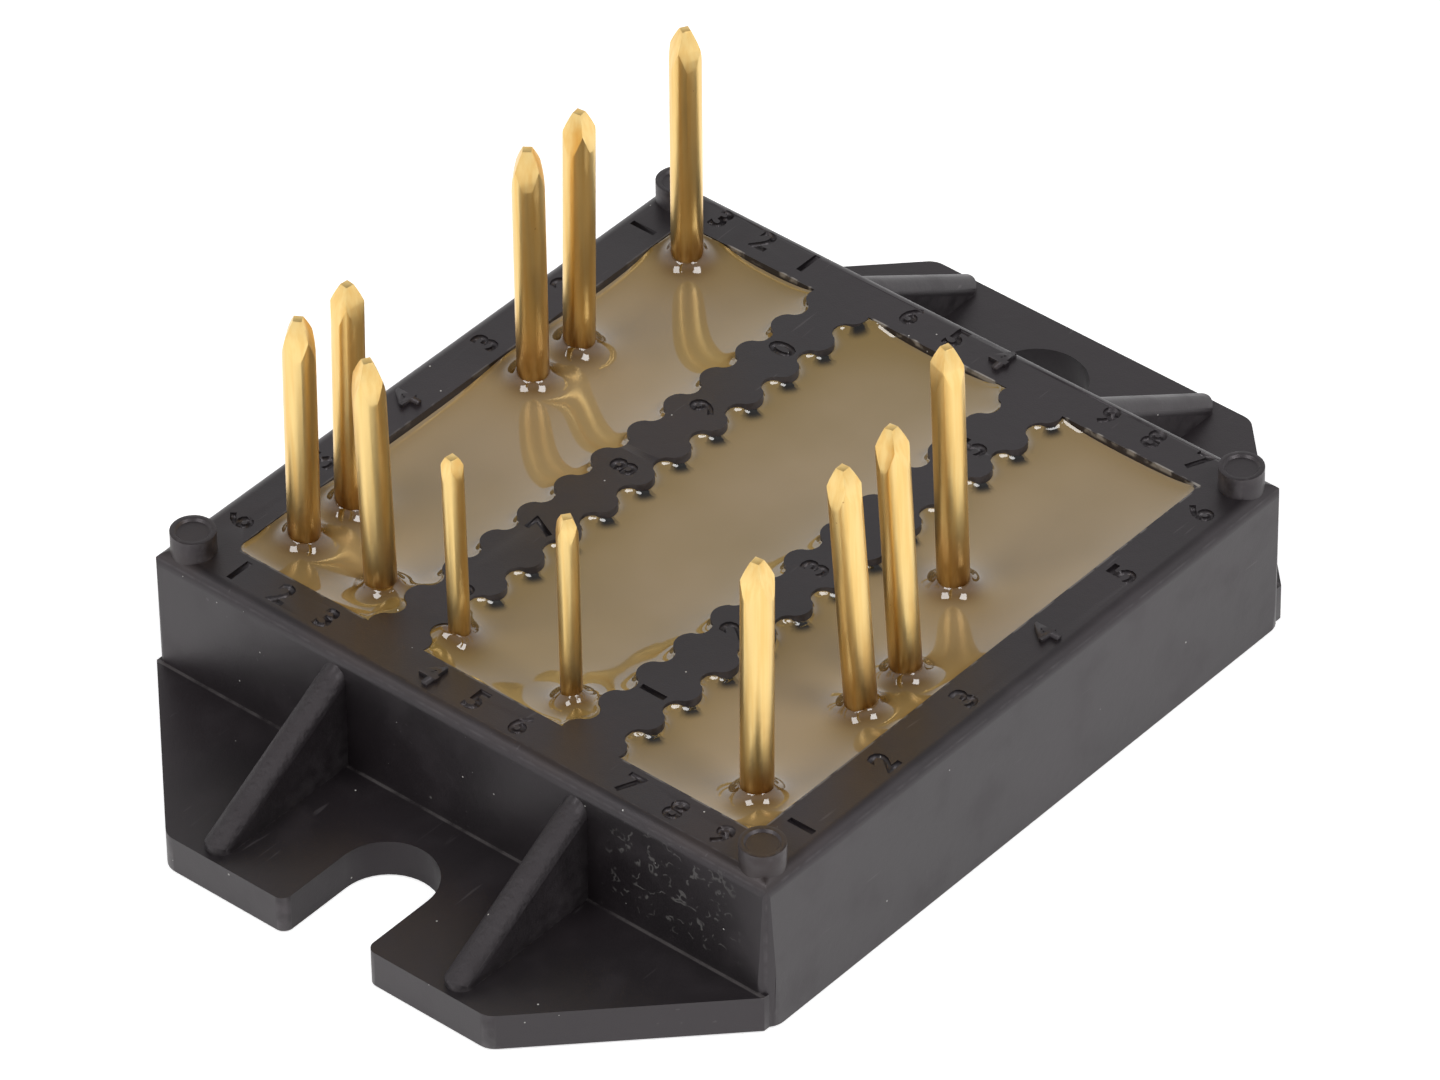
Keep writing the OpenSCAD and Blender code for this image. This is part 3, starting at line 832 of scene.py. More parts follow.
@dataclass
class Moulding:
    """The frame with its bars, flanges, ribs and bosses, edges softened and digits sunk in its top."""

    edge_mm: float = 0.13
    sharp_deg: float = 24.0
    smooth_deg: float = 38.0
    flat_deg: float = 0.5
    digit_mm: float = 1.4
    digit_deep_mm: float = 0.2
    digit_stroke: float = 0.034
    group_starts_mm: tuple[float, float, float] = (13.95, 2.6, -8.85)
    group_step_mm: float = 2.6
    wide_step_mm: float = 5.5
    end_line_mm: float = 16.3
    hole_end_shift_mm: float = 0.3
    side_start_mm: float = -13.7
    side_line_mm: float = 16.3
    bar_start_mm: float = -11.0
    bar_line_mm: float = 5.6
    dish_mm: float = 0.22
    dish_slope_mm: float = 0.1
    dish_deep_mm: float = 0.12
    boss_mm: float = 1.1
    worn_reach: float = 1.6
    worn_bend: float = 1.02
    rows: list[DigitRow] = field(default_factory=list)

    def __post_init__(self) -> None:
        """Lays out the rows of digits: three groups on each end wall, singles on the sides and bars."""
        down = (0.0, -self.group_step_mm)
        slot_end, hole_end = -self.end_line_mm, self.end_line_mm + self.hole_end_shift_mm
        for groups, line in ((("123", "456", "789"), slot_end), (("321", "654", "987"), hole_end)):
            for group, start in zip(groups, self.group_starts_mm):
                self.rows.append(DigitRow(group, (line, start), down, -90.0))
        across = (self.wide_step_mm, 0.0)
        for digits, start, line in (("123456", self.side_start_mm, -self.side_line_mm),
                                    ("654321", self.side_start_mm, self.side_line_mm),
                                    ("12345", self.bar_start_mm, -self.bar_line_mm),
                                    ("67890", self.bar_start_mm, self.bar_line_mm)):
            self.rows.append(DigitRow(digits, (start, line), across))

    def top(self) -> float:
        """The height of the flat top, in metres."""
        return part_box("housing")[1].z - self.boss_mm * MM

    def body(self) -> bmesh.types.BMesh:
        """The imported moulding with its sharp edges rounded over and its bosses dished.

        Returns:
            Its mesh.
        """
        bm = merged_copy("housing")
        bmesh.ops.dissolve_limit(bm, angle_limit=math.radians(self.flat_deg), verts=bm.verts, edges=bm.edges)
        self.dish_bosses(bm)
        limit = math.radians(self.sharp_deg)
        sharp = [e for e in bm.edges if e.is_manifold and e.calc_face_angle(0) > limit]
        bmesh.ops.bevel(bm, geom=sharp, offset=self.edge_mm * MM, offset_type="OFFSET", segments=2,
                        profile=0.5, affect="EDGES", clamp_overlap=True, material=-1)
        bmesh.ops.recalc_face_normals(bm, faces=bm.faces)
        return bm

    def dish_bosses(self, bm: bmesh.types.BMesh) -> None:
        """Sinks the middle of each corner boss a little below its rim.

        Args:
            bm: the moulding's mesh.
        """
        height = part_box("housing")[1].z
        caps = [f for f in bm.faces if f.normal.z > 0.99 and abs(f.calc_center_median().z - height) < 1e-5]
        bmesh.ops.inset_individual(bm, faces=caps, thickness=self.dish_mm * MM, depth=0.0)
        bmesh.ops.inset_individual(bm, faces=caps, thickness=self.dish_slope_mm * MM,
                                   depth=-self.dish_deep_mm * MM)

    def punch(self) -> bpy.types.Object:
        """All the digits as one upright tool that reaches into the top.

        Returns:
            The tool.
        """
        bm = bmesh.new()
        for row in self.rows:
            for mark, place, turn in row.places():
                self.add_digit(bm, mark, place, turn)
        return as_piece(bm, "digit_punch", bpy.data.materials.new("punch"))

    def add_digit(self, bm: bmesh.types.BMesh, mark: str, place: Vector, turn: float) -> None:
        """Adds one digit to the punch.

        Args:
            bm: the punch so far.
            mark: the digit.
            place: its middle on the top, in millimetres.
            turn: its turn, in radians.
        """
        curve = bpy.data.curves.new("digit", "FONT")
        curve.body = mark
        curve.offset = self.digit_stroke
        curve.resolution_u = 3
        curve.extrude = 0.5
        holder = bpy.data.objects.new("digit", curve)
        mesh = bpy.data.meshes.new_from_object(holder)
        lows, highs = ([pick(v.co[axis] for v in mesh.vertices) for axis in range(2)] for pick in (min, max))
        middle = Vector(((lows[0] + highs[0]) / 2, (lows[1] + highs[1]) / 2, 0))
        share = self.digit_mm * MM / (highs[1] - lows[1])
        sizing = Matrix.Diagonal((share, share, 2 * self.digit_deep_mm * MM, 1.0))
        spot = Vector((place.x * MM, place.y * MM, self.top()))
        turned = Matrix.Translation(spot) @ Matrix.Rotation(turn, 4, "Z")
        mesh.transform(turned @ sizing @ Matrix.Translation(-middle))
        first = len(bm.verts)
        bm.from_mesh(mesh)
        bm.verts.ensure_lookup_table()
        bmesh.ops.remove_doubles(bm, verts=bm.verts[first:], dist=1e-8)
        bpy.data.objects.remove(holder)
        bpy.data.curves.remove(curve)
        bpy.data.meshes.remove(mesh)

    def build(self, finish: bpy.types.Material) -> bpy.types.Object:
        """Makes the piece.

        Args:
            finish: its material.

        Returns:
            The moulding.
        """
        piece = as_piece(self.body(), "frame_moulding", finish, self.smooth_deg)
        punch = self.punch()
        cut = piece.modifiers.new("digits", "BOOLEAN")
        cut.operation = "DIFFERENCE"
        cut.solver = "EXACT"
        cut.object = punch
        bake(piece)
        bpy.data.objects.remove(punch)
        self.mark_worn(piece.data)
        soften(piece.data, self.smooth_deg)
        even = piece.modifiers.new("even_shading", "WEIGHTED_NORMAL")
        even.keep_sharp = True
        even.weight = 100
        seat(piece, Slot.FRAME, "housing")
        return piece

    def mark_worn(self, mesh: bpy.types.Mesh) -> None:
        """Notes which points lie on a rounded-over edge and on no broad face.

        Args:
            mesh: the moulding's mesh.
        """
        bm = bmesh.new()
        bm.from_mesh(mesh)
        worn = bm.verts.layers.float.new("worn")
        wide = (self.edge_mm * MM) * self.worn_reach
        for vert in bm.verts:
            thin = all(min(e.calc_length() for e in f.edges) < wide and len(f.verts) <= 5
                       for f in vert.link_faces)
            vert[worn] = 1.0 if thin and vert.calc_shell_factor() > self.worn_bend else 0.0
        bm.to_mesh(mesh)
        bm.free()


@dataclass
class Pin:
    """One solder pin: a round shank on a foot, with four flats coined to its point."""

    name: str
    shank_mm: float
    point_mm: float
    flat_mm: float
    swell: float = 1.5
    twist_deg: float = 0.0
    foot_rim_mm: float = 0.3
    foot_mm: float = 0.4
    facets: int = 64
    edge_mm: float = 0.11
    sharp_deg: float = 17.0
    cuts: tuple[float, ...] = (0.22, 0.42, 0.6, 0.76, 0.89, 1.0)
    softened: float = 1.35

    def place(self) -> tuple[Vector, Vector, float]:
        """Where the pin stands.

        Returns:
            The middle of the foot's underside, the direction of the shank and its length.
        """
        mount = next(m for m in frame["record"]["mounts"] if m["name"] == self.name)
        low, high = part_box(self.name)
        along = Vector(mount["axis"]).normalized()
        gel = Vector(mount["pos_m"])
        foot = gel - along * ((gel.z - low.z) / along.z)
        half_flat = self.flat_mm * MM / 2 * math.hypot(along.x, along.y)
        return foot, along, (high.z - half_flat - low.z) / along.z

    def build(self, finish: bpy.types.Material) -> bpy.types.Object:
        """Makes the pin.

        Args:
            finish: its material.

        Returns:
            The pin.
        """
        foot, along, length = self.place()
        radius = self.shank_mm * MM / 2
        bm = bmesh.new()
        bmesh.ops.create_circle(bm, cap_ends=True, radius=radius, segments=self.facets)
        bmesh.ops.translate(bm, verts=bm.verts, vec=(0, 0, self.foot_mm * MM / 2))
        self.pull(bm, length - self.foot_mm * MM / 2)
        self.coin(bm, radius, length)
        self.turn(bm, foot, along)
        self.add_foot(bm, foot, radius)
        piece = as_piece(bm, "gold_" + self.name, finish)
        seat(piece, Slot.PIN, self.name)
        return piece

    def pull(self, bm: bmesh.types.BMesh, length: float) -> None:
        """Pulls the circle up into a bar.

        Args:
            bm: the circle's mesh.
            length: how far, in metres.
        """
        grown = bmesh.ops.extrude_face_region(bm, geom=list(bm.faces))
        top = [v for v in grown["geom"] if isinstance(v, bmesh.types.BMVert)]
        bmesh.ops.translate(bm, verts=top, vec=(0, 0, length))
        bmesh.ops.recalc_face_normals(bm, faces=bm.faces)

    def coin(self, bm: bmesh.types.BMesh, radius: float, length: float) -> None:
        """Cuts the four swelling flats of the point and softens their edges.

        Args:
            bm: the upright bar's mesh.
            radius: the shank's radius, in metres.
            length: the height of the tip, in metres.
        """
        point = self.point_mm * MM
        flat = self.flat_mm * MM / 2
        profile = [(radius, point)]
        profile += [(flat + (radius - flat) * (1 - share ** self.swell), point * (1 - share))
                    for share in self.cuts]
        for (low_out, low_down), (high_out, high_down) in zip(profile, profile[1:]):
            slope = math.atan2(low_out - high_out, low_down - high_down)
            for turn in range(4):
                about = Matrix.Rotation(math.radians(self.twist_deg) + turn * math.pi / 2, 3, "Z")
                cut = bmesh.ops.bisect_plane(
                    bm, geom=bm.verts[:] + bm.edges[:] + bm.faces[:], dist=1e-8, clear_outer=True,
                    plane_co=about @ Vector((high_out, 0, length - high_down)),
                    plane_no=about @ Vector((math.cos(slope), 0, math.sin(slope))))
                rim = [e for e in cut["geom_cut"] if isinstance(e, bmesh.types.BMEdge)]
                bmesh.ops.contextual_create(bm, geom=rim)
        bmesh.ops.recalc_face_normals(bm, faces=bm.faces)
        limit = length - point * self.softened
        sharp = [e for e in bm.edges if e.is_manifold and e.calc_face_angle(0) > math.radians(self.sharp_deg)
                 and min(v.co.z for v in e.verts) > limit]
        bmesh.ops.bevel(bm, geom=sharp, offset=self.edge_mm * MM, offset_type="OFFSET", segments=3,
                        profile=0.5, affect="EDGES", clamp_overlap=True, material=-1)

    def turn(self, bm: bmesh.types.BMesh, foot: Vector, along: Vector) -> None:
        """Leans the shank and sets it on its foot.

        Args:
            bm: the upright pin's mesh.
            foot: the middle of the foot's underside.
            along: the direction of the shank.
        """
        lean = Vector((0, 0, 1)).rotation_difference(along).to_matrix()
        bmesh.ops.rotate(bm, verts=bm.verts, cent=(0, 0, 0), matrix=lean)
        bmesh.ops.translate(bm, verts=bm.verts, vec=foot)

    def add_foot(self, bm: bmesh.types.BMesh, foot: Vector, radius: float) -> None:
        """Adds the round foot, which stands upright.

        Args:
            bm: the pin's mesh.
            foot: the middle of the foot's underside.
            radius: the shank's radius, in metres.
        """
        wide, thick = radius + self.foot_rim_mm * MM, self.foot_mm * MM
        made = bmesh.ops.create_cone(bm, cap_ends=True, segments=self.facets, radius1=wide, radius2=wide,
                                     depth=thick)
        bmesh.ops.translate(bm, verts=made["verts"], vec=foot + Vector((0, 0, thick / 2)))


@dataclass
class PinSet:
    """The twelve pins: ten thick ones and two thin ones for the thermistor.

    A point is given by its length and the width of its end in millimetres, and by its swell.
    """

    points: dict[float, tuple[float, float, float]] = field(default_factory=lambda: {
        THICK_PIN_MM: (2.4, 0.42, 1.9), THIN_PIN_MM: (1.35, 0.42, 2.0)})
    twists_deg: dict[str, float] = field(default_factory=lambda: {
        "pin_phase_1": 33, "pin_phase_2": 84, "pin_sense_high": 58, "pin_plus_1": 38, "pin_plus_2": 8,
        "pin_gate_high": 61, "pin_ntc_1": 80, "pin_ntc_2": 55, "pin_sense_low": 8, "pin_minus_1": 0,
        "pin_minus_2": 4, "pin_gate_low": 72})

    def build(self) -> list[bpy.types.Object]:
        """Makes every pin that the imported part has.

        Returns:
            The pins.
        """
        finish = GoldFlash().material()
        made = []
        for name in sorted(n for n in frame["nodes"] if n.startswith("pin_")):
            width = pin_width(name)
            pin = Pin(name, width, *self.points[width], self.twists_deg.get(name, 0.0))
            made.append(pin.build(finish))
        return made


@dataclass
class Meniscus:
    """How high the gel stands above its level, worked out on a fine net over the opening.

    The net has a margin of spare meshes all round. In a hollow of a wall the gel is steeper by
    the gain, up to a most. The haste, from 1 to 2, makes the rounds of pulling tight take hold sooner.
    """

    walls: bvhtree.BVHTree
    pins: list[tuple[Vector, float]]
    net_mm: float = 0.1
    reach_mm: float = 1.2
    wall_slope: float = 0.205
    hollow_gain: tuple[float, float] = (3.4, 1.35)
    pin_slope: float = 0.45
    rounds: int = 240
    haste: float = 1.75
    margin: int = 2
    blurs: int = 24
    spreads: int = 6
    smooths: int = 2
    low: Vector = field(init=False)
    height: np.ndarray = field(init=False)
    openness: np.ndarray = field(init=False)

    def __post_init__(self) -> None:
        """Lays the net and lets the gel climb."""
        self.low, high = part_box("gel")
        columns, rows = (math.ceil((high[axis] - self.low[axis]) / (self.net_mm * MM)) + 2 * self.margin + 1
                         for axis in (0, 1))
        self.height = self.settle(*self.survey(columns, rows, high.z))

    def survey(self, columns: int, rows: int, level: float) -> tuple[np.ndarray, np.ndarray]:
        """Finds which meshes of the net are open, and how steeply the gel meets the others.

        Args:
            columns: how many meshes the net has along X.
            rows: how many meshes the net has along Y.
            level: the height of the gel.

        Returns:
            Whether each mesh is open, and the slope at which gel meets it where it isn't.
        """
        free = np.zeros((columns, rows), dtype=bool)
        pins = np.zeros((columns, rows), dtype=bool)
        for i in range(self.margin, columns - self.margin):
            for j in range(self.margin, rows - self.margin):
                place = self.low + Vector((i - self.margin, j - self.margin, 0)) * (self.net_mm * MM)
                place.z = level
                near, normal, _, _ = self.walls.find_nearest(place)
                free[i, j] = (place - near).dot(normal) > 0
                for spot, radius in self.pins:
                    pins[i, j] |= (place.to_2d() - spot).length < radius
        openness = (free | pins).astype(float)
        for _ in range(self.blurs):
            openness = (openness + self.around(openness)) / 5
        self.openness = openness
        gain, most = self.hollow_gain
        slope = self.wall_slope * np.clip(1 + gain * (0.5 - openness), 0, most)
        return free & ~pins, np.where(pins, self.pin_slope, slope)

    def around(self, net: np.ndarray) -> np.ndarray:
        """The sum of each mesh's four neighbours."""
        return sum(np.roll(net, *step) for step in NEIGHBOURS)

    def settle(self, free: np.ndarray, slope: np.ndarray) -> np.ndarray:
        """Lets the gel's surface pull tight between all that it wets.

        Args:
            free: whether each mesh of the net is open.
            slope: how steeply the gel meets the others.

        Returns:
            The gel's height above its level at each mesh, in millimetres.
        """
        share = self.around(free) + (self.net_mm / self.reach_mm) ** 2
        fed = self.net_mm * self.around(np.where(free, 0.0, slope))
        odd = np.indices(free.shape).sum(axis=0) % 2 == 1
        height = np.zeros(free.shape)
        for _ in range(self.rounds):
            for tile in (free & odd, free & ~odd):
                pull = (self.around(height) + fed) / share - height
                height = np.where(tile, height + self.haste * pull, height)
        known = free.astype(float)
        for _ in range(self.spreads):
            count = self.around(known)
            mean = self.around(height * known) / np.maximum(count, 1)
            height = np.where(known > 0, height, mean)
            known = np.maximum(known, count > 0)
        for _ in range(self.smooths):
            height = (height * 4 + self.around(height)) / 8
        return height

    def at(self, place: Vector) -> float:
        """The gel's height above its level at a place, in millimetres."""
        return self.read(self.height, place)

    def read(self, net: np.ndarray, place: Vector) -> float:
        """What a net of values holds at a place.

        Args:
            net: the net of values, such as the heights.
            place: the place to read it at.

        Returns:
            The value there, blended from the four nearest meshes.
        """
        x, y = ((place[axis] - self.low[axis]) / (self.net_mm * MM) + self.margin for axis in (0, 1))
        i = min(max(int(x), 0), net.shape[0] - 2)
        j = min(max(int(y), 0), net.shape[1] - 2)
        u, v = clamped(x - i), clamped(y - j)
        near = net[i, j] * (1 - v) + net[i, j + 1] * v
        far = net[i + 1, j] * (1 - v) + net[i + 1, j + 1] * v
        return float(near * (1 - u) + far * u)


@dataclass
class GelSurface:
    """The gel's skin in the three windows, climbing at the walls and at each pin.

    A lip is given by its height and how soon it fades, and the painted dark patch at a lobe's front by where
    it starts and over how much it reaches full strength.
    """

    cell_mm: float = 0.24
    finer_mm: tuple[float, float] = (0.9, 0.34)
    kept_cells: tuple[float, float] = (1.5, 0.6)
    brim_mm: float = 0.79
    brim_slope: float = 0.7
    crest_mm: float = 1.15
    lift_mm: float = 0.01
    wall_lip_mm: tuple[float, float] = (0.14, 0.15)
    pin_lip_mm: tuple[float, float] = (0.42, 0.4)
    # How far the painted dark reflection of a pin reaches across the gel.
    pin_reflection_reach_mm: float = 0.58
    # Between these rises the painted shade of the climbing gel fades in.
    painted_shade_rise_mm: tuple[float, float] = (0.12, 0.75)
    # Where the painted dark lobe patch lies, which way it faces, and how it fades.
    painted_lobe_dark_mm: float = 0.44
    painted_lobe_dark_side: tuple[float, float, float] = (-0.72, -0.69, 0.0)
    painted_lobe_dark_facing: tuple[float, float] = (0.72, 0.14)
    painted_lobe_dark_open: tuple[float, float] = (0.52, 0.06)
    skin_mm: float = 0.06
    smooth_deg: float = 50.0
    walls: bvhtree.BVHTree = field(init=False)
    pins: list[tuple[Vector, float]] = field(default_factory=list)

    def __post_init__(self) -> None:
        """Reads the walls, and where each pin comes out of the gel."""
        source = merged_copy("housing")
        self.walls = bvhtree.BVHTree.FromBMesh(source)
        source.free()
        for mount in frame["record"]["mounts"]:
            if mount["name"].startswith("pin_"):
                radius = pin_width(mount["name"]) / 2
                self.pins.append((Vector(mount["pos_m"]).to_2d(), radius * MM))

    def gap(self, place: Vector) -> float:
        """How far a place is from the nearest wall, in metres, and less than zero inside one."""
        near, normal, _, away = self.walls.find_nearest(place)
        return -away if (place - near).dot(normal) < 0 else away

    def pin_gap(self, place: Vector) -> float:
        """How far a place is from the nearest pin, in metres."""
        return min(max((place.to_2d() - spot).length - radius, 0.0) for spot, radius in self.pins)

    def sheet(self) -> bmesh.types.BMesh:
        """A flat sheet over the opening, without what lies deep in a wall, finer near walls and pins.

        Returns:
            The sheet.
        """
        low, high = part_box("gel")
        size = high - low
        cell = self.cell_mm * MM
        wide, narrow = self.kept_cells
        bm = bmesh.new()
        bmesh.ops.create_grid(bm, x_segments=round(size.x / cell), y_segments=round(size.y / cell), size=0.5)
        bmesh.ops.scale(bm, verts=bm.verts, vec=(size.x, size.y, 1))
        bmesh.ops.translate(bm, verts=bm.verts, vec=((low.x + high.x) / 2, (low.y + high.y) / 2, high.z))
        for step, reach in enumerate(self.finer_mm):
            self.drop_hidden(bm, cell * wide / 2 ** step)
            near = {v for v in bm.verts if min(abs(self.gap(v.co)), self.pin_gap(v.co)) < reach * MM}
            edges = [e for e in bm.edges if e.verts[0] in near and e.verts[1] in near]
            bmesh.ops.subdivide_edges(bm, edges=edges, cuts=1, use_grid_fill=True)
        self.drop_hidden(bm, cell * narrow)
        return bm

    def drop_hidden(self, bm: bmesh.types.BMesh, deep: float) -> None:
        """Removes the points that lie deeper than that in a wall."""
        hidden = [v for v in bm.verts if self.gap(v.co) < -deep]
        bmesh.ops.delete(bm, geom=hidden, context="VERTS")

    def climb(self, bm: bmesh.types.BMesh) -> None:
        """Lifts the sheet where the gel climbs, no higher than a wall's edge, and marks where the finish
        paints shade, dark pin reflections and dark lobe patches.

        Args:
            bm: the flat sheet.
        """
        meniscus = Meniscus(self.walls, self.pins)
        climb, foot, clear = (bm.verts.layers.float.new(name) for name in ("climb", "foot", "clear"))
        low, high = self.painted_shade_rise_mm
        for vert in bm.verts:
            gap, reach = max(self.gap(vert.co), 0.0) / MM, self.pin_gap(vert.co) / MM
            rise = meniscus.at(vert.co)
            # Painted shade where the gel rises at walls and pins.
            vert[climb] = clamped((rise - low) / (high - low))
            # Painted dark reflection of the pin round its foot.
            vert[foot] = math.exp(-(reach / self.pin_reflection_reach_mm) ** 2)
            # Painted dark patch at the camera-facing lobe fronts.
            vert[clear] = self.painted_lobe_dark(vert.co, meniscus)
            for away, (lip, fade) in ((gap, self.wall_lip_mm), (reach, self.pin_lip_mm)):
                rise += lip * math.exp(-away / fade)
            brim = self.brim_mm + self.brim_slope * gap
            vert.co.z += (min(rise, brim, self.crest_mm) + self.lift_mm) * MM

    def painted_lobe_dark(self, place: Vector, meniscus: Meniscus) -> float:
        """How strongly a dark patch is painted on the gel over the front of a lobe that faces the camera,
        standing for the dark wall seen in the thin gel.

        Args:
            place: the place on the gel.
            meniscus: the gel's heights, with how open each place is.

        Returns:
            The share, from 0 for milky gel to 1 for the painted dark patch.
        """
        near, normal, _, away = self.walls.find_nearest(place)
        (turned, turn_fade), (open_from, open_fade) = self.painted_lobe_dark_facing, self.painted_lobe_dark_open
        facing = clamped((normal.dot(Vector(self.painted_lobe_dark_side)) - turned) / turn_fade)
        lobed = clamped((meniscus.read(meniscus.openness, near) - open_from) / open_fade)
        return facing * lobed * math.exp(-(away / MM / self.painted_lobe_dark_mm) ** 4)

    def close(self, bm: bmesh.types.BMesh) -> None:
        """Gives the sheet a rim and a flat underside.

        Args:
            bm: the lifted sheet.
        """
        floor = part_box("gel")[1].z - self.skin_mm * MM
        rim = [e for e in bm.edges if e.is_boundary]
        grown = bmesh.ops.extrude_edge_only(bm, edges=rim)
        sunk = [v for v in grown["geom"] if isinstance(v, bmesh.types.BMVert)]
        for vert in sunk:
            vert.co.z = floor
        loop = [e for e in grown["geom"] if isinstance(e, bmesh.types.BMEdge) and e.is_boundary]
        bmesh.ops.edgeloop_fill(bm, edges=loop)
        bmesh.ops.recalc_face_normals(bm, faces=bm.faces)

    def build(self, finish: bpy.types.Material) -> bpy.types.Object:
        """Makes the skin.

        Args:
            finish: its material.

        Returns:
            The skin.
        """
        bm = self.sheet()
        self.climb(bm)
        self.close(bm)
        piece = as_piece(bm, "gel_skin", finish, self.smooth_deg)
        seat(piece, Slot.GEL)
        return piece


@dataclass
class Circuit:
    """The ceramic plate and everything soldered or bonded to it, all below the gel."""

    finishes: dict[tuple[str, ...], Mottled] = field(default_factory=lambda: {
        ("base_copper", "track_"): COPPER, ("ceramic_plate",): CERAMIC, ("sealing_bead",): BEAD,
        ("solder_", "foot_solder_"): TIN, ("igbt_", "diode_"): SILICON, ("wires_",): WIRE,
        ("thermistor",): RESISTOR})

    def build(self) -> None:
        """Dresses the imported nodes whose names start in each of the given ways."""
        for starts, finish in self.finishes.items():
            dress([name for name in sorted(frame["nodes"]) if name.startswith(starts)], finish.material())


@dataclass(frozen=True)
class Lamp:
    """A square soft lamp that faces the module."""

    name: str
    spot_mm: tuple[float, float, float]
    watts: float
    size_mm: float = 260.0

    def hang(self) -> None:
        """Adds the lamp to the scene."""
        data = bpy.data.lights.new(self.name, "AREA")
        data.shape = "SQUARE"
        data.size = self.size_mm * MM
        data.energy = self.watts
        lamp = bpy.data.objects.new(self.name, data)
        spot = Vector(self.spot_mm) * MM
        aim = spot.normalized().to_track_quat("Z", "Y").to_matrix().to_4x4()
        lamp.matrix_world = Matrix.Translation(spot) @ aim
        bpy.context.scene.collection.objects.link(lamp)


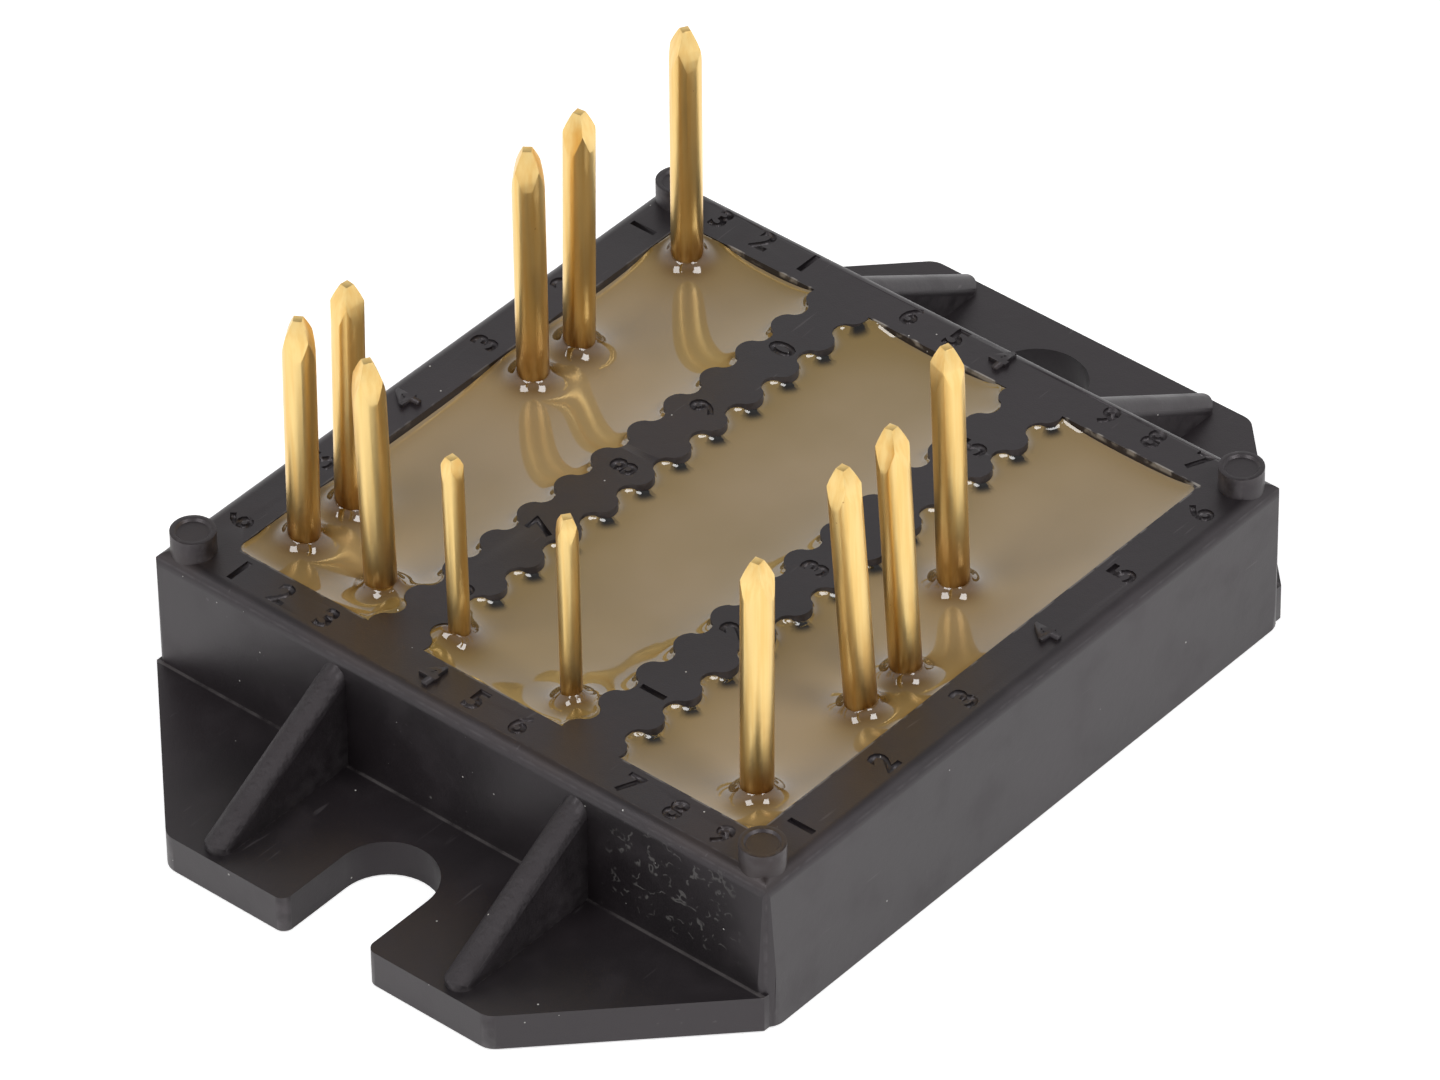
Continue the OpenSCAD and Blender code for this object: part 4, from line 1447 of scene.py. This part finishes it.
@dataclass
class Studio:
    """A plain white table, soft light and the camera."""

    target_mm: Vector = field(default_factory=lambda: Vector((2.537, 2.17, 4.04)))
    bearing_rad: float = -0.8551
    height_rad: float = 0.6867
    roll_rad: float = -0.017
    distance_mm: float = 471.5
    lens_mm: float = 262.5
    sensor_mm: float = 36.0
    sight_m: tuple[float, float] = (0.01, 20.0)
    table_mm: float = 4000.0
    table_gap_mm: float = 0.02
    table_tones: tuple[Colour, Colour] = ((0.8, 0.8, 0.8), (0.82, 0.82, 0.82))
    table_glow: float = 0.72
    patch_mm: tuple[float, float] = (26.5, 18.0)
    patch_glow: float = 0.25
    ceiling: tuple[tuple[float, float], tuple[float, float]] = ((0.42, 1.0), (0.9, 0.3))
    world_light: tuple[float, float] = (0.3, 1.0)
    lamps: tuple[Lamp, ...] = (Lamp("right", (50, -400, 540), 1.6), Lamp("left", (-400, 100, 540), 1.4))

    def camera(self) -> None:
        """Sets up the camera."""
        a, e, r = self.bearing_rad, self.height_rad, self.roll_rad
        back = Vector((math.sin(a) * math.cos(e), -math.cos(a) * math.cos(e), math.sin(e)))
        right = Vector((math.cos(a), math.sin(a), 0))
        up = back.cross(right)
        turned_right = right * math.cos(r) + up * math.sin(r)
        turned_up = up * math.cos(r) - right * math.sin(r)
        data = bpy.data.cameras.new("camera")
        data.lens = self.lens_mm
        data.sensor_width = self.sensor_mm
        data.clip_start, data.clip_end = self.sight_m
        camera = bpy.data.objects.new("camera", data)
        axes = Matrix((turned_right, turned_up, back)).transposed().to_4x4()
        spot = (self.target_mm + back * self.distance_mm) * MM
        camera.matrix_world = Matrix.Translation(spot) @ axes
        bpy.context.scene.collection.objects.link(camera)
        bpy.context.scene.camera = camera

    def patch(self, g: Graph) -> Signal:
        """The shaded patch of the table that the module stands on, with its corners cut.

        Args:
            g: the table material's graph.

        Returns:
            A mask of the patch.
        """
        x, y = g.along(0).size(), g.along(1).size()
        long, wide = self.patch_mm
        inside = x.eased(long, long - 0.6) * y.eased(wide, wide - 0.6)
        return inside * (x + y).eased(2 * wide, 2 * wide - 0.8)

    def table(self) -> None:
        """Adds the white table."""
        bm = bmesh.new()
        bmesh.ops.create_circle(bm, cap_ends=True, radius=self.table_mm * MM / 2, segments=64)
        bmesh.ops.translate(bm, verts=bm.verts, vec=(0, 0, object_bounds()[0].z - self.table_gap_mm * MM))
        g = Graph("white_table")
        g.feed("Base Color", g.shade(g.noise(400, 2), *self.table_tones))
        g.fix(Roughness=0.9, Specular_IOR_Level=0.1, Emission_Color=(1.0, 1.0, 1.0))
        path = g.add("ShaderNodeLightPath")
        seen, mirrored, through = (Signal(g, path.outputs[f"Is {ray} Ray"])
                                   for ray in ("Camera", "Glossy", "Transmission"))
        mirrored = mirrored * self.patch(g).between(1.0, self.patch_glow)
        g.feed("Emission Strength", seen.larger(mirrored).larger(through) * self.table_glow)
        table = as_piece(bm, "table", g.material)
        table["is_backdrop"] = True

    def sky(self, tree: bpy.types.NodeTree) -> bpy.types.NodeSocket:
        """White round about and up to half height, with a darker ceiling.

        Args:
            tree: the nodes of the surroundings.

        Returns:
            The colour of the surroundings.
        """
        place = tree.nodes.new("ShaderNodeTexCoord")
        height = tree.nodes.new("ShaderNodeSeparateXYZ")
        ramp = tree.nodes.new("ShaderNodeValToRGB")
        ramp.color_ramp.interpolation = "EASE"
        for stop, (spot, level) in zip(ramp.color_ramp.elements, self.ceiling):
            stop.position = spot
            stop.color = (level, level, level, 1)
        tree.links.new(place.outputs["Generated"], height.inputs["Vector"])
        tree.links.new(height.outputs["Z"], ramp.inputs["Fac"])
        return ramp.outputs["Color"]

    def world(self) -> None:
        """Sets the surroundings: white to look at, softer as a light."""
        world = bpy.data.worlds.new("white_surroundings")
        bpy.context.scene.world = world
        world.use_nodes = True
        tree = world.node_tree
        tree.nodes.clear()
        output = tree.nodes.new("ShaderNodeOutputWorld")
        background = tree.nodes.new("ShaderNodeBackground")
        tree.links.new(self.sky(tree), background.inputs["Color"])
        path = tree.nodes.new("ShaderNodeLightPath")
        seen = path.outputs["Is Camera Ray"]
        for ray in ("Is Glossy Ray", "Is Transmission Ray"):
            larger = tree.nodes.new("ShaderNodeMath")
            larger.operation = "MAXIMUM"
            tree.links.new(seen, larger.inputs[0])
            tree.links.new(path.outputs[ray], larger.inputs[1])
            seen = larger.outputs[0]
        strength = tree.nodes.new("ShaderNodeMapRange")
        strength.inputs["To Min"].default_value, strength.inputs["To Max"].default_value = self.world_light
        tree.links.new(seen, strength.inputs["Value"])
        tree.links.new(strength.outputs["Result"], background.inputs["Strength"])
        tree.links.new(background.outputs[0], output.inputs["Surface"])

    def build(self) -> None:
        """Makes the studio."""
        bpy.context.scene.view_settings.view_transform = "Standard"
        self.camera()
        self.table()
        self.world()
        for lamp in self.lamps:
            lamp.hang()


def main() -> None:
    """Builds every sub-assembly in order."""
    logging.basicConfig(level=logging.INFO, format="%(message)s")
    Studio().build()
    plastic = MouldedPlastic().material()
    gel = SiliconeGel().material()
    Moulding().build(plastic)
    Circuit().build()
    dress(["gel"], gel)
    GelSurface().build(gel)
    PinSet().build()


if __name__ == "__main__":
    main()
